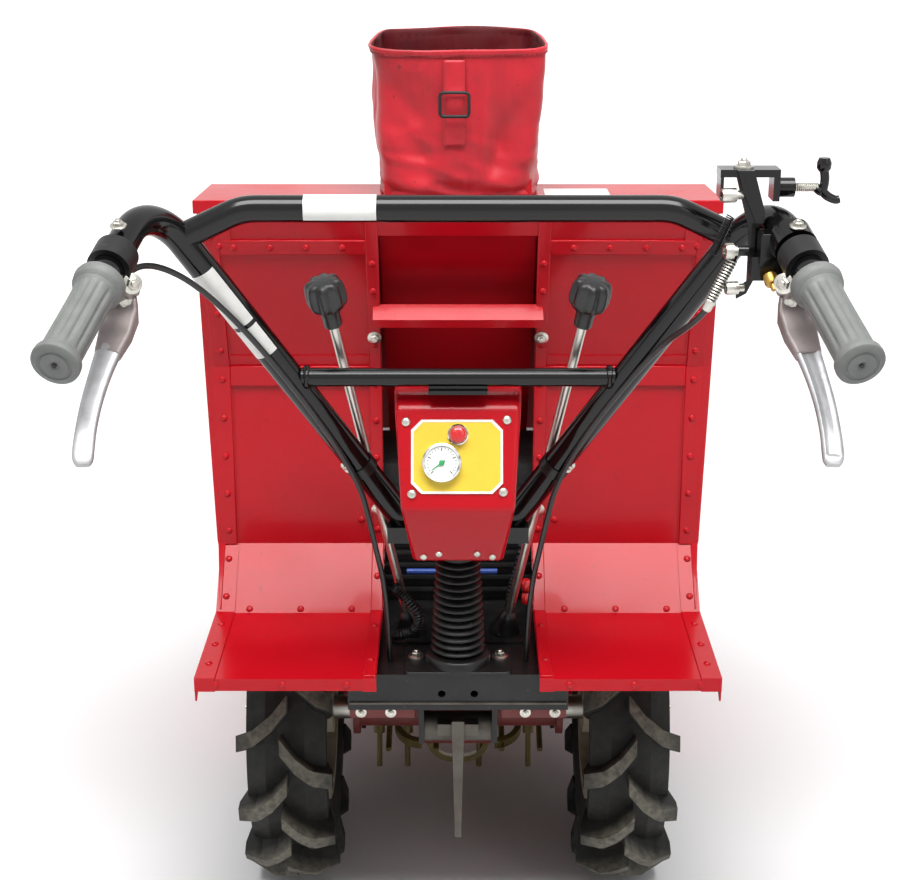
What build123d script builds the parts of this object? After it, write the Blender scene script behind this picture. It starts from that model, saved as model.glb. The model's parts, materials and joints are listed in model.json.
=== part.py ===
from build123d import *
import math
import os

# Walk-behind harvester, in millimetres.
# X points to the operator's right, Y forward and Z up.  The origin is on the ground,
# below the wheel axle, which is at the middle of the machine's length.

# Fits
SLIDE = 0.1            # radial clearance of a turning shaft
SEAT = 0.3             # gap between two pieces that seat on each other
CUT = 1.0              # how far a cut runs past the face it opens

# Tyres, rims and axle
TYRE_R = 210.0         # over the lugs
TYRE_W = 112.0         # over the lugs
TYRE_X = 204.0         # tyre centre from the middle plane
TYRE_SECTION = 106.0   # height from the bead to the tips of the lugs
BELLY_RISE = 42.0      # tyre's widest point over the bead
LUG_COUNT = 13         # on each half of a tyre
LUG_H = 28.0
LUG_T = 19.0           # length of a lug round the tyre
LUG_SWEEP = 46.0       # how far its outer end trails its inner end
LUG_OVER = 4.0         # its inner end past the tyre's middle
LUG_EDGE_FALL = 15.0   # fall of the lugs from the middle to their outer ends
LUG_END_H = 16.0       # upright part of a lug's outer end
CARCASS_W = 94.0
CARCASS_FALL = 12.0    # fall of the carcass from its crown to its shoulder
BEAD_W = 76.0
RIM_WALL = 5.0
RIM_FLANGE = 12.0      # height of the rim's flange over the bead seat
RIM_FLANGE_T = 4.0
DISC_T = 6.0
HUB_R = 32.0
HUB_LENGTH = 90.0
AXLE_R = 15.0
AXLE_END = 18.0        # shaft outside the hub

# Clear spaces round the tyres
SHELF_ROOM = 28.31     # shelf over the tyre, where the shelf meets the slope
BEAM_ROOM = 10.5       # front cross-member from the tyre
ARCH_ROOM = 16.0       # side wall's arch round the tyre
WELL_ROOM = 30.0       # side wall ahead of the tyre

# Frame
RAIL_X = 100.0         # rail centre from the middle plane
RAIL_W = 30.0
RAIL_H = 39.0
DECK_T = 4.0
DECK_DROP = 14.0       # deck below the shelves
BEAM_X = 122.0         # half length of the rear cross-member
BEAM_D = 35.0
BEAM_REAR_Y = -270.0
HOLE_SPACING = 36.0    # two holes for an accessory in the rear cross-member
HOLE_R = 4.25
HOLE_DEPTH = 20.0
FRONT_BEAM_D = 30.0

# Gear case below the deck
CASE_X = 45.0
CASE_Y = 60.0
CASE_R = 46.0
AXLE_TUBE_R = 24.0
AXLE_TUBE_X = 133.0
TUBE_FLANGE_R = 34.0
TUBE_FLANGE_T = 8.0

# Engine
ENGINE_X = 128.0
ENGINE_REAR_Y = -60.0
ENGINE_H = 174.0
ENGINE_EDGE = 14.0
ENGINE_ROOM = 15.0     # from the engine's upper front edge to the duct

# Sheet-metal body; rises are over the shelves
BODY_X = 284.0         # half width over the side walls
SHEET = 2.0
FLANGE_W = 22.0
CHANNEL_X = 103.0      # outer face of the channel's cheeks
CHEEK_FLANGE_W = 15.0
CHEEK_FRONT_Y = -62.0
LIP_Y = -310.0
LIP_DROP = 14.0
JOINT_Y = -134.0       # shelf to slope
FOOT_Y = -71.0         # slope to wall
FOOT_RISE = 63.0
KNEE_RISE = 284.0      # upright wall to leaning wall
TOP_Y = -125.0
TOP_RISE = 471.0
TOP_FRONT_Y = -20.0
HOOD_KNEE_Y = 340.0
HOOD_KNEE_Z = 480.0
NOSE_Y = 600.0
NOSE_Z = 330.0
NOSE_LIP = 30.0
FRONT_Y = 623.4        # front edge of the side walls
FRONT_STEP_Z = 190.0
FRONT_LOW_Z = 60.0
WALL_LOW_Z = 30.0
WALL_TOE = 30.0
BAND_RAISE = 1.5       # cover strips stand this far off the rear panel
BAND_HALF = 14.0
CAP_DOWN = 26.0        # the cap's turned edge over the leaning wall
CAP_FRONT = 20.0
CROSSBAR_X = 96.0
CROSSBAR_S = 62.0      # lower edge of the crossbar, up the leaning wall from its knee
CROSSBAR_H = 20.0
CROSSBAR_D = 18.0

# Elevator duct, outlet collar and fabric spout; rises are over the body's top
DUCT_X = 87.0
DUCT_D = 140.0
DUCT_LOW_Z = 265.0
DUCT_DROP = 25.0       # duct's upper end below the body's top
DUCT_TOP_REAR_Y = -113.0
COLLAR_X = 78.0
COLLAR_D = 130.0
COLLAR_T = 3.0
COLLAR_RISE = 34.0
SPOUT_T = 3.0
SPOUT_LOW_RISE = 4.0
SPOUT_RISE = 186.0     # far side of the rim
SPOUT_TILT = 12.0      # the rim's near side is this much lower
SPOUT_TOP_W = 196.0
SPOUT_TOP_D = 175.0
SPOUT_CORNER = 18.0

# Pick-up reel, its hangers, deflectors and skids
REEL_AHEAD = 14.0      # reel's axis ahead of the front cross-member
REEL_Z = 125.0
REEL_DRUM_R = 34.0
REEL_SHAFT_R = 12.0
REEL_X = 122.0         # half length of the drum
TINE_TIP_R = 112.0
TINE_R = 4.0
TINE_HOLDER_R = 8.0
TINE_HOLDER_TIP_R = 62.0
BLADE_TIP_R = 100.0
BLADE_W = 14.0
BLADE_T = 8.0
BLADE_SWEEP = 34.0     # sideways reach of a blade's tip
HANGER_X = 130.0
HANGER_T = 6.0
HANGER_AHEAD = 60.0    # hanger's front and rear edges from the reel's axis
HANGER_BEHIND = 30.0
HANGER_LOW_Z = 80.0
HANGER_KNEE_Z = 190.0
HANGER_BEND = 43.0     # rear edge's bend below the rails
DEFLECTOR_FRONT_Y = 598.0
DEFLECTOR_AHEAD = 50.0  # rear end ahead of the reel's axis
DEFLECTOR_T = 7.0
DEFLECTOR_LOW_Z = 40.0
DEFLECTOR_H = 190.0
SKID_W = 42.0
SKID_T = 8.0
SKID_REAR_Y = 330.0
SKID_FRONT_Y = 612.0
SKID_RISE = 40.0
SKID_WEB_T = 6.0
SKID_WEB_H = 60.0
SKID_WEB_FRONT_Y = 472.0

# Handlebar: points on the right-hand tube, from the grip to the yoke; rises are over the deck
GRIP_END_X = 334.0
GRIP_END_Y = -614.0
GRIP_END_RISE = 448.0
BEND_X = 290.0
BEND_Y = -388.0
BEND_RISE = 548.0
YOKE_END_X = 58.0
YOKE_END_Y = -240.0
YOKE_END_RISE = 170.0
TUBE_R = 14.5
BEND_R = 60.0
TOP_BAR_BELOW = 13.0   # upper crossbar below the bend
TOP_BAR_RUN = 60.0     # from its corners to the tubes
TOP_BAR_R = 13.0
TOP_BAR_BEND = 60.0
TOP_BAR_DROP = 28.0    # fall of the crossbar's ends to the tubes
LOW_BAR_RISE = 352.0
LOW_BAR_R = 9.5
YOKE_X = 76.0
YOKE_D = 46.0
YOKE_T = 18.0
POST_R = 18.0
POST_Y = -238.0
BOX_TAB_X = 30.0
BOX_TAB_T = 4.0

# Grips, brake levers and their perches; a lever's points are back from its perch, down and inwards
GRIP_LENGTH = 118.0
GRIP_R = 18.0
GRIP_FLANGE_R = 21.5
GRIP_FLANGE_T = 10.0
GRIP_CAP_T = 5.0
PERCH_S = 150.0        # perch from the grip's end, along the tube
PERCH_R = 20.0
PERCH_W = 24.0
PERCH_DROP = 40.0
LEVER_W = 19.0
LEVER_T = 9.0
LEVER_BEND_BACK = 80.4
LEVER_BEND_DROP = 54.2
LEVER_BEND_IN = 9.9
LEVER_TIP_BACK = 169.9
LEVER_TIP_DROP = 83.0
LEVER_TIP_IN = 13.4
LEVER_BALL_R = 10.0
LEVER_BEND_R = 10.0

# Clutch bracket on the right-hand tube, with its wing screw.  It is placed from the middle of its
# clamp: inwards, outwards and ahead; rises are over its foot.
CLAMP_R = 20.0
CLAMP_HALF = 10.0
CLAMP_S = 178.0        # clamp from the grip's end, along the tube
CLUTCH_AHEAD = 29.7    # rear face of the lever plate
BRACKET_BELOW = 59.0   # foot below the clamp
LEVER_PLATE_IN = 48.8  # inner edge of the lever plate's head
LEVER_PLATE_OUT = 24.8  # outer edge of its shank
LEVER_PLATE_T = 4.0
STRIP_W = 10.0         # width of the plate
FOOT_TOP_RISE = 16.0   # upper side of its turned foot
HEAD_H = 50.0          # its bent head, below the top plate
ARM_BELOW = 15.0       # arm from the plate to the clamp, below the clamp's middle
ARM_H = 22.0
BRIDGE_IN = 63.8       # inner end of the top plate
BRIDGE_OVER = 35.2     # top plate over the tube's line
BRIDGE_T = 7.0
BRACKET_D = 26.0       # depth of the top plate
OUTER_PLATE_IN = 14.8
OUTER_PLATE_T = 6.0
OUTER_PLATE_H = 22.0   # below the top plate
LATCH_T = 6.0
LATCH_H = 41.0         # below the top plate
SPRING_BOLT_IN = 49.8  # inner end of the bolt that holds the cable's spring
SPRING_BOLT_RISE = 45.0
SPRING_BOLT_R = 5.0
FERRULE_IN = 69.8      # lower end of the spring, where the cable starts
FERRULE_DROP = 8.0
FERRULE_R = 3.5
BOSS_R = 9.0
BOSS_OUT = 6.2
SCREW_BELOW = 11.0     # screw below the top plate
SCREW_R = 3.6
CRANK_OUT = 32.2       # middle of the crank's upright arm
CRANK_END_OUT = 49.2
CRANK_R = 4.5
CRANK_UP = 22.0        # crank's upper and lower ends from the screw
CRANK_DOWN = 10.0
CRANK_KNOB_R = 6.5

# Gear levers; the rise is over the deck
GEAR_FOOT_X = 53.0
GEAR_FOOT_Y = -162.0
GEAR_TOP_X = 126.0
GEAR_TOP_Y = -297.0
GEAR_TOP_RISE = 402.0
GEAR_ROD_R = 5.0
KNOB_R = 20.0
KNOB_H = 34.0
KNOB_COLLAR_R = 10.0
KNOB_COLLAR_H = 22.0
KNOB_PROFILE = [(0.8, 0.0), (1.0, 0.35), (0.9, 0.8), (0.5, 1.0)]  # shares of its radius and height

# Bellows round the handle post
BELLOWS_R = 30.0
BELLOWS_GROOVE = 5.0
BELLOWS_RIBS = 10
BELLOWS_GAP = 26.0     # post between the bellows and the yoke
BELLOWS_BASE_R = 36.0
BELLOWS_BASE_T = 14.0

# Control box, hung from the lower crossbar; drops are below its top
BOX_HANG = 16.0        # box top below the crossbar's axis
BOX_X = 66.0
BOX_WAIST_X = 57.5     # half width at the foot of the sloping face
BOX_LOW_X = 47.0
BOX_FRONT = 35.0       # front ahead of the crossbar's axis
BOX_TOP_REAR = 5.0     # top rear edge ahead of it
BOX_FACE_REAR = 37.0   # foot of the sloping face behind it
BOX_LOW_REAR = 7.0     # lower rear edge behind it
BOX_LOW_FRONT = 23.0   # lower front edge ahead of it
BOX_FACE_DROP = 4.0
BOX_FACE_FOOT = 114.0
BOX_H = 174.0
BOX_WALL = 2.0         # the box is a shell, open to the front
PLATE_W = 96.0
PLATE_H = 86.0
PLATE_CUT = 18.0
PLATE_T = 1.6
GAUGE_R = 20.0
GAUGE_T = 9.0
GAUGE_SPOT = (-16.0, -7.0)
BUTTON_R = 8.5
BUTTON_T = 8.0
BUTTON_SPOT = (0.0, 24.0)

# Stake below the rear cross-member; drops are below the rails
STAKE_PIVOT_Y = -226.0
STAKE_PIVOT_DROP = 42.0
STAKE_BARREL_R = 17.0
STAKE_BARREL_X = 38.0
STAKE_PIN_R = 8.0
STAKE_LUG_T = 6.0
STAKE_LUG_D = 22.0
STAKE_Y = -251.0
STAKE_TOP_DROP = 21.0
STAKE_LENGTH = 149.0
STAKE_TOP_W = 14.0
STAKE_LOW_W = 7.0
STAKE_PAD_X = 23.0
STAKE_PAD_H = 14.0

# Cables along the handlebar, from the left brake lever and from the clutch bracket; rises are over the deck
CABLE_R = 3.0
BRAKE_CABLE_BELOW = 98.0   # where each cable comes to its tube, below the bend
CLUTCH_CABLE_BELOW = 154.0
CABLE_LOW_RISE = 254.0     # where both leave it
CABLE_LEAD = 42.0      # straight run out of the lever's perch
CABLE_OUT = 30.0       # where it leaves the perch, below the tube
CABLE_FALL = 12.0      # straight run below the clutch bracket
CABLE_ARC_SHARE = 0.45  # part of each run that its arcs may take
CABLE_TURN_X = 90.0
CABLE_TURN_Y = -264.0
CABLE_TURN_RISE = 154.0
CABLE_DROP_X = 78.0
CABLE_DROP_Y = -245.0
CABLE_DROP_RISE = 84.0
CABLE_FOOT_X = 76.0
CABLE_FOOT_Y = -236.0

# Values worked out from those above
AXLE_Z = TYRE_R
BEAD_R = TYRE_R - TYRE_SECTION
BELLY_R = BEAD_R + BELLY_RISE
SHELF_Z = AXLE_Z + math.sqrt(TYRE_R ** 2 - JOINT_Y ** 2) + SHELF_ROOM
DECK_Z = SHELF_Z - DECK_DROP
RAIL_TOP_Z = DECK_Z - DECK_T
RAIL_LOW_Z = RAIL_TOP_Z - RAIL_H
TOP_Z = SHELF_Z + TOP_RISE
DUCT_TOP_Z = TOP_Z - DUCT_DROP
COLLAR_TOP_Z = TOP_Z + COLLAR_RISE
FRONT_BEAM_REAR_Y = math.sqrt((TYRE_R + BEAM_ROOM) ** 2 - (RAIL_LOW_Z - AXLE_Z) ** 2)
FRONT_BEAM_Y = FRONT_BEAM_REAR_Y + FRONT_BEAM_D
DUCT_DECK_Y = FRONT_BEAM_Y + SEAT
DUCT_LEAN = (DUCT_TOP_REAR_Y - DUCT_DECK_Y) / (DUCT_TOP_Z - DECK_Z)
REEL_Y = FRONT_BEAM_Y + REEL_AHEAD
WELL_FRONT_Y = TYRE_R + WELL_ROOM
HUB_BORE_R = AXLE_R + SLIDE
HANGER_OUT_X = HANGER_X + HANGER_T
WALL_IN_X = BODY_X - SHEET
STAKE_PIVOT_Z = RAIL_LOW_Z - STAKE_PIVOT_DROP
GRIP_END = Vector(GRIP_END_X, GRIP_END_Y, DECK_Z + GRIP_END_RISE)
BEND = Vector(BEND_X, BEND_Y, DECK_Z + BEND_RISE)
YOKE_END = Vector(YOKE_END_X, YOKE_END_Y, DECK_Z + YOKE_END_RISE)
GRIP_AXIS = (BEND - GRIP_END).normalized()
TUBE_AXIS = (YOKE_END - BEND).normalized()
CLAMP_SEAT = GRIP_END + GRIP_AXIS * CLAMP_S
CLUTCH_Y = CLAMP_SEAT.Y + CLUTCH_AHEAD
BRACKET_Z = CLAMP_SEAT.Z - BRACKET_BELOW
SCREW_Y = CLUTCH_Y + BRACKET_D / 2
BRIDGE_Z = CLAMP_SEAT.Z + (SCREW_Y - CLAMP_SEAT.Y) * GRIP_AXIS.Z / GRIP_AXIS.Y + BRIDGE_OVER
SCREW_Z = BRIDGE_Z - SCREW_BELOW
GEAR_FOOT = Vector(GEAR_FOOT_X, GEAR_FOOT_Y, DECK_Z)
GEAR_TOP = Vector(GEAR_TOP_X, GEAR_TOP_Y, DECK_Z + GEAR_TOP_RISE)
TOP_BAR_Z = BEND.Z - TOP_BAR_BELOW
LOW_BAR_Z = DECK_Z + LOW_BAR_RISE
LOW_BAR_Y = BEND_Y + (YOKE_END_Y - BEND_Y) * (LOW_BAR_RISE - BEND_RISE) / (YOKE_END_RISE - BEND_RISE)
BOX_TOP_Z = LOW_BAR_Z - BOX_HANG
BOX_FACE_LOW_Z = BOX_TOP_Z - BOX_FACE_FOOT
BOX_LOW_Z = BOX_TOP_Z - BOX_H

REAR_PATH = [
    (LIP_Y, SHELF_Z - LIP_DROP),
    (LIP_Y, SHELF_Z),
    (JOINT_Y, SHELF_Z),
    (FOOT_Y, SHELF_Z + FOOT_RISE),
    (FOOT_Y, SHELF_Z + KNEE_RISE),
    (TOP_Y, TOP_Z),
]
FRONT_PATH = [
    (TOP_FRONT_Y, TOP_Z),
    (HOOD_KNEE_Y, HOOD_KNEE_Z),
    (NOSE_Y, NOSE_Z),
    (NOSE_Y, NOSE_Z - NOSE_LIP),
]
BODY_PATH = REAR_PATH + FRONT_PATH
TOP_CORNER = len(REAR_PATH) - 1


def yz_prism(points, x0, x1):
    """Side-view outline of (y, z) points, extruded from x0 to x1."""
    outline = Polyline(*[(x0, y, z) for y, z in points], close=True)
    return extrude(make_face(outline), amount=x1 - x0, dir=(1, 0, 0))


def xz_prism(points, y0, y1):
    """Rear-view outline of (x, z) points, extruded from y0 to y1."""
    outline = Polyline(*[(x, y0, z) for x, z in points], close=True)
    return extrude(make_face(outline), amount=y1 - y0, dir=(0, 1, 0))


def xy_prism(points, z0, z1):
    """Plan outline of (x, y) points, extruded from z0 to z1."""
    outline = Polyline(*[(x, y, z0) for x, y in points], close=True)
    return extrude(make_face(outline), amount=z1 - z0, dir=(0, 0, 1))


def block(x0, x1, y0, y1, z0, z1):
    """Box between two corners."""
    return xy_prism([(x0, y0), (x1, y0), (x1, y1), (x0, y1)], z0, z1)


def offset_path(path, distance):
    """Mitred parallel of an open path of (y, z) points, to the left of its direction."""
    normals = []
    for (y0, z0), (y1, z1) in zip(path, path[1:]):
        length = math.hypot(y1 - y0, z1 - z0)
        normals.append(((z0 - z1) / length, (y1 - y0) / length))
    moved = []
    for i, (y, z) in enumerate(path):
        before = normals[max(i - 1, 0)]
        after = normals[min(i, len(normals) - 1)]
        reach = distance / (1 + before[0] * after[0] + before[1] * after[1])
        moved.append((y + reach * (before[0] + after[0]), z + reach * (before[1] + after[1])))
    return moved


def sheet(path, inner, outer, x0, x1):
    """Bent sheet between two offsets of a side-view path, from x0 to x1."""
    outline = offset_path(path, outer) + offset_path(path, inner)[::-1]
    return yz_prism(outline, x0, x1)


def body_sheet(first, last, inner, outer, x0, x1):
    """Bent sheet along the body's outline between two of its corners, mitred at both ends."""
    outside = offset_path(BODY_PATH, outer)[first:last + 1]
    inside = offset_path(BODY_PATH, inner)[first:last + 1]
    return yz_prism(outside + inside[::-1], x0, x1)


def along(start, end, distance):
    """Point on the line from start to end, at a distance from start."""
    length = math.dist(start, end)
    return tuple(a + (b - a) * distance / length for a, b in zip(start, end))


def rod(start, end, radius):
    """Round bar between two points."""
    start, end = Vector(start), Vector(end)
    axis = end - start
    bottom = (Align.CENTER, Align.CENTER, Align.MIN)
    return Plane(origin=start, z_dir=axis) * Cylinder(radius, axis.length, align=bottom)


def bent_tube(points, radius, bend):
    """Round bar along straight runs that are joined by arcs."""
    path = FilletPolyline(*points, radius=bend)
    section = Plane(origin=path @ 0, z_dir=path % 0) * Circle(radius)
    return sweep(section, path=path)


def lathe_x(profile, x, y, z):
    """Closed profile of (axial, radius) points, turned about an axis along X at (x, y, z)."""
    outline = Polyline(*[(x + a, y, z + r) for a, r in profile], close=True)
    return revolve(make_face(outline), axis=Axis((x, y, z), (1, 0, 0)))


def lathe_along(profile, origin, axis):
    """Closed profile of (radius, height) points, turned about an axis through the origin."""
    face = make_face(Polyline(*[(r, 0, h) for r, h in profile], close=True))
    return Plane(origin=origin, z_dir=axis) * revolve(face, axis=Axis.Z)


def mirrored(solid):
    """The left-hand piece of a right-hand one."""
    return mirror(solid, about=Plane.YZ)


def tube_at_height(z):
    """Point on the straight part of the right-hand handlebar tube at a height."""
    return BEND + TUBE_AXIS * ((z - BEND.Z) / TUBE_AXIS.Z)


def grip_point(distance):
    """Point on the grip's axis, at a distance from the grip's end."""
    return GRIP_END + GRIP_AXIS * distance


def duct_rear_y(z):
    """Rear face of the elevator duct at a height."""
    return DUCT_DECK_Y + DUCT_LEAN * (z - DECK_Z)


def tyre_carcass():
    """Tyre without its lugs."""
    half = CARCASS_W / 2
    bead = BEAD_W / 2
    crown_r = TYRE_R - LUG_H
    flange_r = BEAD_R + RIM_FLANGE
    right = [
        (bead, BEAD_R),
        (bead, flange_r),
        (half, BELLY_R),
        (half, crown_r - CARCASS_FALL),
        (half / 2, crown_r),
    ]
    left = [(-a, r) for a, r in right]
    return lathe_x(left + right[::-1], TYRE_X, 0, AXLE_Z)


def tyre_lug(side):
    """One lug on top of the tyre, swept back from the tyre's middle to its edge on one side."""
    half = TYRE_W / 2
    end_r = TYRE_R - LUG_EDGE_FALL
    # Share of the lug's length from the middle outwards, and share of its sweep
    curve = [(0.0, 0.0), (0.3, 0.5), (0.65, 0.86), (1.0, 1.0)]
    front = []
    for length_share, sweep_share in curve:
        a = length_share * (half + LUG_OVER) - LUG_OVER
        front.append((TYRE_X + side * a, LUG_T / 2 - LUG_SWEEP * sweep_share))
    rear = [(x, y - LUG_T) for x, y in front]
    post = xy_prism(front + rear[::-1], AXLE_Z + BELLY_R, AXLE_Z + TYRE_R)
    envelope = lathe_x([
        (-side * LUG_OVER, BELLY_R),
        (-side * LUG_OVER, TYRE_R),
        (side * half / 2, TYRE_R),
        (side * half, end_r),
        (side * half, end_r - LUG_END_H),
        (side * CARCASS_W / 2, BELLY_R),
    ], TYRE_X, 0, AXLE_Z)
    return post & envelope


def make_tyre():
    pitch = 360 / LUG_COUNT
    lugs = []
    for side in (-1, 1):
        lug = tyre_lug(side)
        for i in range(LUG_COUNT):
            turn = (i + side / 4) * pitch
            lugs.append(lug.rotate(Axis((0, 0, AXLE_Z), (1, 0, 0)), turn))
    return tyre_carcass().fuse(*lugs)


def make_rim():
    bead = BEAD_W / 2 + SEAT
    outer = BEAD_R - SEAT
    inner = outer - RIM_WALL
    flange_r = BEAD_R + RIM_FLANGE - SEAT
    lip = bead + RIM_FLANGE_T
    barrel = lathe_x(
        [
            (-lip, inner),
            (-lip, flange_r),
            (-bead, flange_r),
            (-bead, outer),
            (bead, outer),
            (bead, flange_r),
            (lip, flange_r),
            (lip, inner),
        ],
        TYRE_X, 0, AXLE_Z,
    )
    disc = lathe_x([(0, HUB_BORE_R), (0, inner), (DISC_T, inner), (DISC_T, HUB_BORE_R)], TYRE_X, 0, AXLE_Z)
    half_hub = HUB_LENGTH / 2
    hub = lathe_x(
        [(-half_hub, HUB_BORE_R), (-half_hub, HUB_R), (half_hub, HUB_R), (half_hub, HUB_BORE_R)],
        TYRE_X, 0, AXLE_Z,
    )
    return barrel + disc + hub


def make_axle_shaft():
    inner_x = CASE_X + TUBE_FLANGE_T
    outer_x = TYRE_X + HUB_LENGTH / 2 + AXLE_END
    return rod((inner_x, 0, AXLE_Z), (outer_x, 0, AXLE_Z), AXLE_R)


def make_axle_gear_case():
    body = block(-CASE_X, CASE_X, -CASE_Y / 2, CASE_Y / 2, AXLE_Z, RAIL_TOP_Z)
    body += rod((-CASE_X, 0, AXLE_Z), (CASE_X, 0, AXLE_Z), CASE_R)
    for side in (-1, 1):
        body += rod((side * CASE_X, 0, AXLE_Z), (side * AXLE_TUBE_X, 0, AXLE_Z), AXLE_TUBE_R)
        end = side * (AXLE_TUBE_X - TUBE_FLANGE_T)
        body += rod((end, 0, AXLE_Z), (side * AXLE_TUBE_X, 0, AXLE_Z), TUBE_FLANGE_R)
        bore_start = side * (CASE_X + TUBE_FLANGE_T - SEAT)
        body -= rod((bore_start, 0, AXLE_Z), (side * (AXLE_TUBE_X + CUT), 0, AXLE_Z), AXLE_R + SLIDE)
    return body


def make_chassis_frame():
    beam_front_y = BEAM_REAR_Y + BEAM_D
    frame = block(-BEAM_X, BEAM_X, BEAM_REAR_Y, beam_front_y, RAIL_LOW_Z, RAIL_TOP_Z)
    for side in (-1, 1):
        x = side * RAIL_X
        frame += block(x - RAIL_W / 2, x + RAIL_W / 2, beam_front_y, FRONT_BEAM_Y, RAIL_LOW_Z, RAIL_TOP_Z)
        hole = rod((side * HOLE_SPACING / 2, BEAM_REAR_Y - CUT, RAIL_TOP_Z - RAIL_H / 2),
                   (side * HOLE_SPACING / 2, BEAM_REAR_Y + HOLE_DEPTH, RAIL_TOP_Z - RAIL_H / 2), HOLE_R)
        frame -= hole
    frame += block(-WALL_IN_X, WALL_IN_X, FRONT_BEAM_REAR_Y, FRONT_BEAM_Y, RAIL_LOW_Z, RAIL_TOP_Z)
    deck_x = CHANNEL_X - SHEET - SEAT
    frame += block(-deck_x, deck_x, BEAM_REAR_Y, FRONT_BEAM_Y, RAIL_TOP_Z, DECK_Z)
    return frame


def make_engine():
    top_z = DECK_Z + ENGINE_H
    front_y = duct_rear_y(top_z) - ENGINE_ROOM
    engine = block(-ENGINE_X, ENGINE_X, ENGINE_REAR_Y, front_y, DECK_Z, top_z)
    return fillet(engine.edges().filter_by(Axis.Z), ENGINE_EDGE)


def make_side_wall():
    outline = offset_path(BODY_PATH, SHEET) + [
        (FRONT_Y, FRONT_STEP_Z),
        (FRONT_Y, FRONT_LOW_Z),
        (FRONT_Y - WALL_TOE, WALL_LOW_Z),
        (WELL_FRONT_Y, WALL_LOW_Z),
        (WELL_FRONT_Y, SHELF_Z - LIP_DROP),
    ]
    wall = yz_prism(outline, WALL_IN_X, BODY_X)
    wall -= rod((WALL_IN_X - CUT, 0, AXLE_Z), (BODY_X + CUT, 0, AXLE_Z), TYRE_R + ARCH_ROOM)
    return wall + body_sheet(0, len(BODY_PATH) - 1, 0, SHEET, BODY_X - FLANGE_W, BODY_X)


def make_rear_panel():
    panel = body_sheet(0, TOP_CORNER, -SHEET, 0, CHANNEL_X, WALL_IN_X)
    foot, knee, top = REAR_PATH[3:6]
    band_x = BODY_X - FLANGE_W
    knee_band = [along(knee, foot, BAND_HALF), knee, along(knee, top, BAND_HALF)]
    panel += sheet(knee_band, 0, BAND_RAISE, CHANNEL_X, band_x)
    top_band = [along(top, knee, CAP_DOWN + 2 * BAND_HALF), along(top, knee, CAP_DOWN)]
    panel += sheet(top_band, 0, BAND_RAISE, CHANNEL_X, band_x)
    return panel


def make_channel_cheek():
    outline = REAR_PATH + [
        (CHEEK_FRONT_Y, TOP_Z),
        (CHEEK_FRONT_Y, RAIL_TOP_Z),
        (BEAM_REAR_Y, RAIL_TOP_Z),
        (BEAM_REAR_Y, SHELF_Z - LIP_DROP),
    ]
    cheek = yz_prism(outline, CHANNEL_X - SHEET, CHANNEL_X)
    below_cap = along(REAR_PATH[-1], REAR_PATH[-2], CAP_DOWN)
    return cheek + sheet(REAR_PATH[:-1] + [below_cap], 0, SHEET, CHANNEL_X - CHEEK_FLANGE_W, CHANNEL_X)


def make_channel_crossbar():
    knee, top = REAR_PATH[4:6]
    low = along(knee, top, CROSSBAR_S)
    high = along(knee, top, CROSSBAR_S + CROSSBAR_H)
    back_low, back_high = offset_path([low, high], SHEET)
    nose_low, nose_high = offset_path([low, along(low, high, CROSSBAR_H / 2)], SHEET + CROSSBAR_D)
    return yz_prism([back_low, back_high, nose_high, nose_low], -CROSSBAR_X, CROSSBAR_X)


def make_top_cap():
    knee, top = REAR_PATH[4:6]
    front, hood_knee = FRONT_PATH[:2]
    path = [along(top, knee, CAP_DOWN), top, front, along(front, hood_knee, CAP_FRONT)]
    cap_x = BODY_X - FLANGE_W
    cap = sheet(path, 0, SHEET, -cap_x, cap_x)
    notch_x = COLLAR_X + COLLAR_T + SEAT
    rear = collar_rear_y() - SEAT
    return cap - block(-notch_x, notch_x, rear, HOOD_KNEE_Y, TOP_Z - 2 * CAP_DOWN, COLLAR_TOP_Z)


def make_hood():
    hood = body_sheet(TOP_CORNER + 1, len(BODY_PATH) - 1, -SHEET, 0, -WALL_IN_X, WALL_IN_X)
    room = SEAT + SHEET
    cut = [
        (duct_rear_y(DUCT_LOW_Z), DUCT_LOW_Z),
        (duct_rear_y(DUCT_LOW_Z) + DUCT_D + room, DUCT_LOW_Z),
        (duct_rear_y(DUCT_TOP_Z) + DUCT_D + room, DUCT_TOP_Z),
        (duct_rear_y(DUCT_TOP_Z) + DUCT_D + room, COLLAR_TOP_Z),
        (TOP_Y, COLLAR_TOP_Z),
        (TOP_Y, DUCT_TOP_Z),
    ]
    notch_x = DUCT_X + SEAT
    return hood - yz_prism(cut, -notch_x, notch_x)


def duct_outline(wall):
    """Side-view outline of the duct, its rear and front moved in by a wall."""
    in_y = wall * math.hypot(1, DUCT_LEAN)
    return [
        (duct_rear_y(DUCT_LOW_Z) + in_y, DUCT_LOW_Z),
        (duct_rear_y(DUCT_LOW_Z) + DUCT_D - in_y, DUCT_LOW_Z),
        (duct_rear_y(DUCT_TOP_Z) + DUCT_D - in_y, DUCT_TOP_Z),
        (duct_rear_y(DUCT_TOP_Z) + in_y, DUCT_TOP_Z),
    ]


def make_elevator_duct():
    inside_x = DUCT_X - SHEET
    return yz_prism(duct_outline(0), -DUCT_X, DUCT_X) - yz_prism(duct_outline(SHEET), -inside_x, inside_x)


def collar_rear_y():
    """Rear face of the outlet collar, centred on the duct's upper end."""
    return DUCT_TOP_REAR_Y + (DUCT_D - COLLAR_D) / 2


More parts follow.
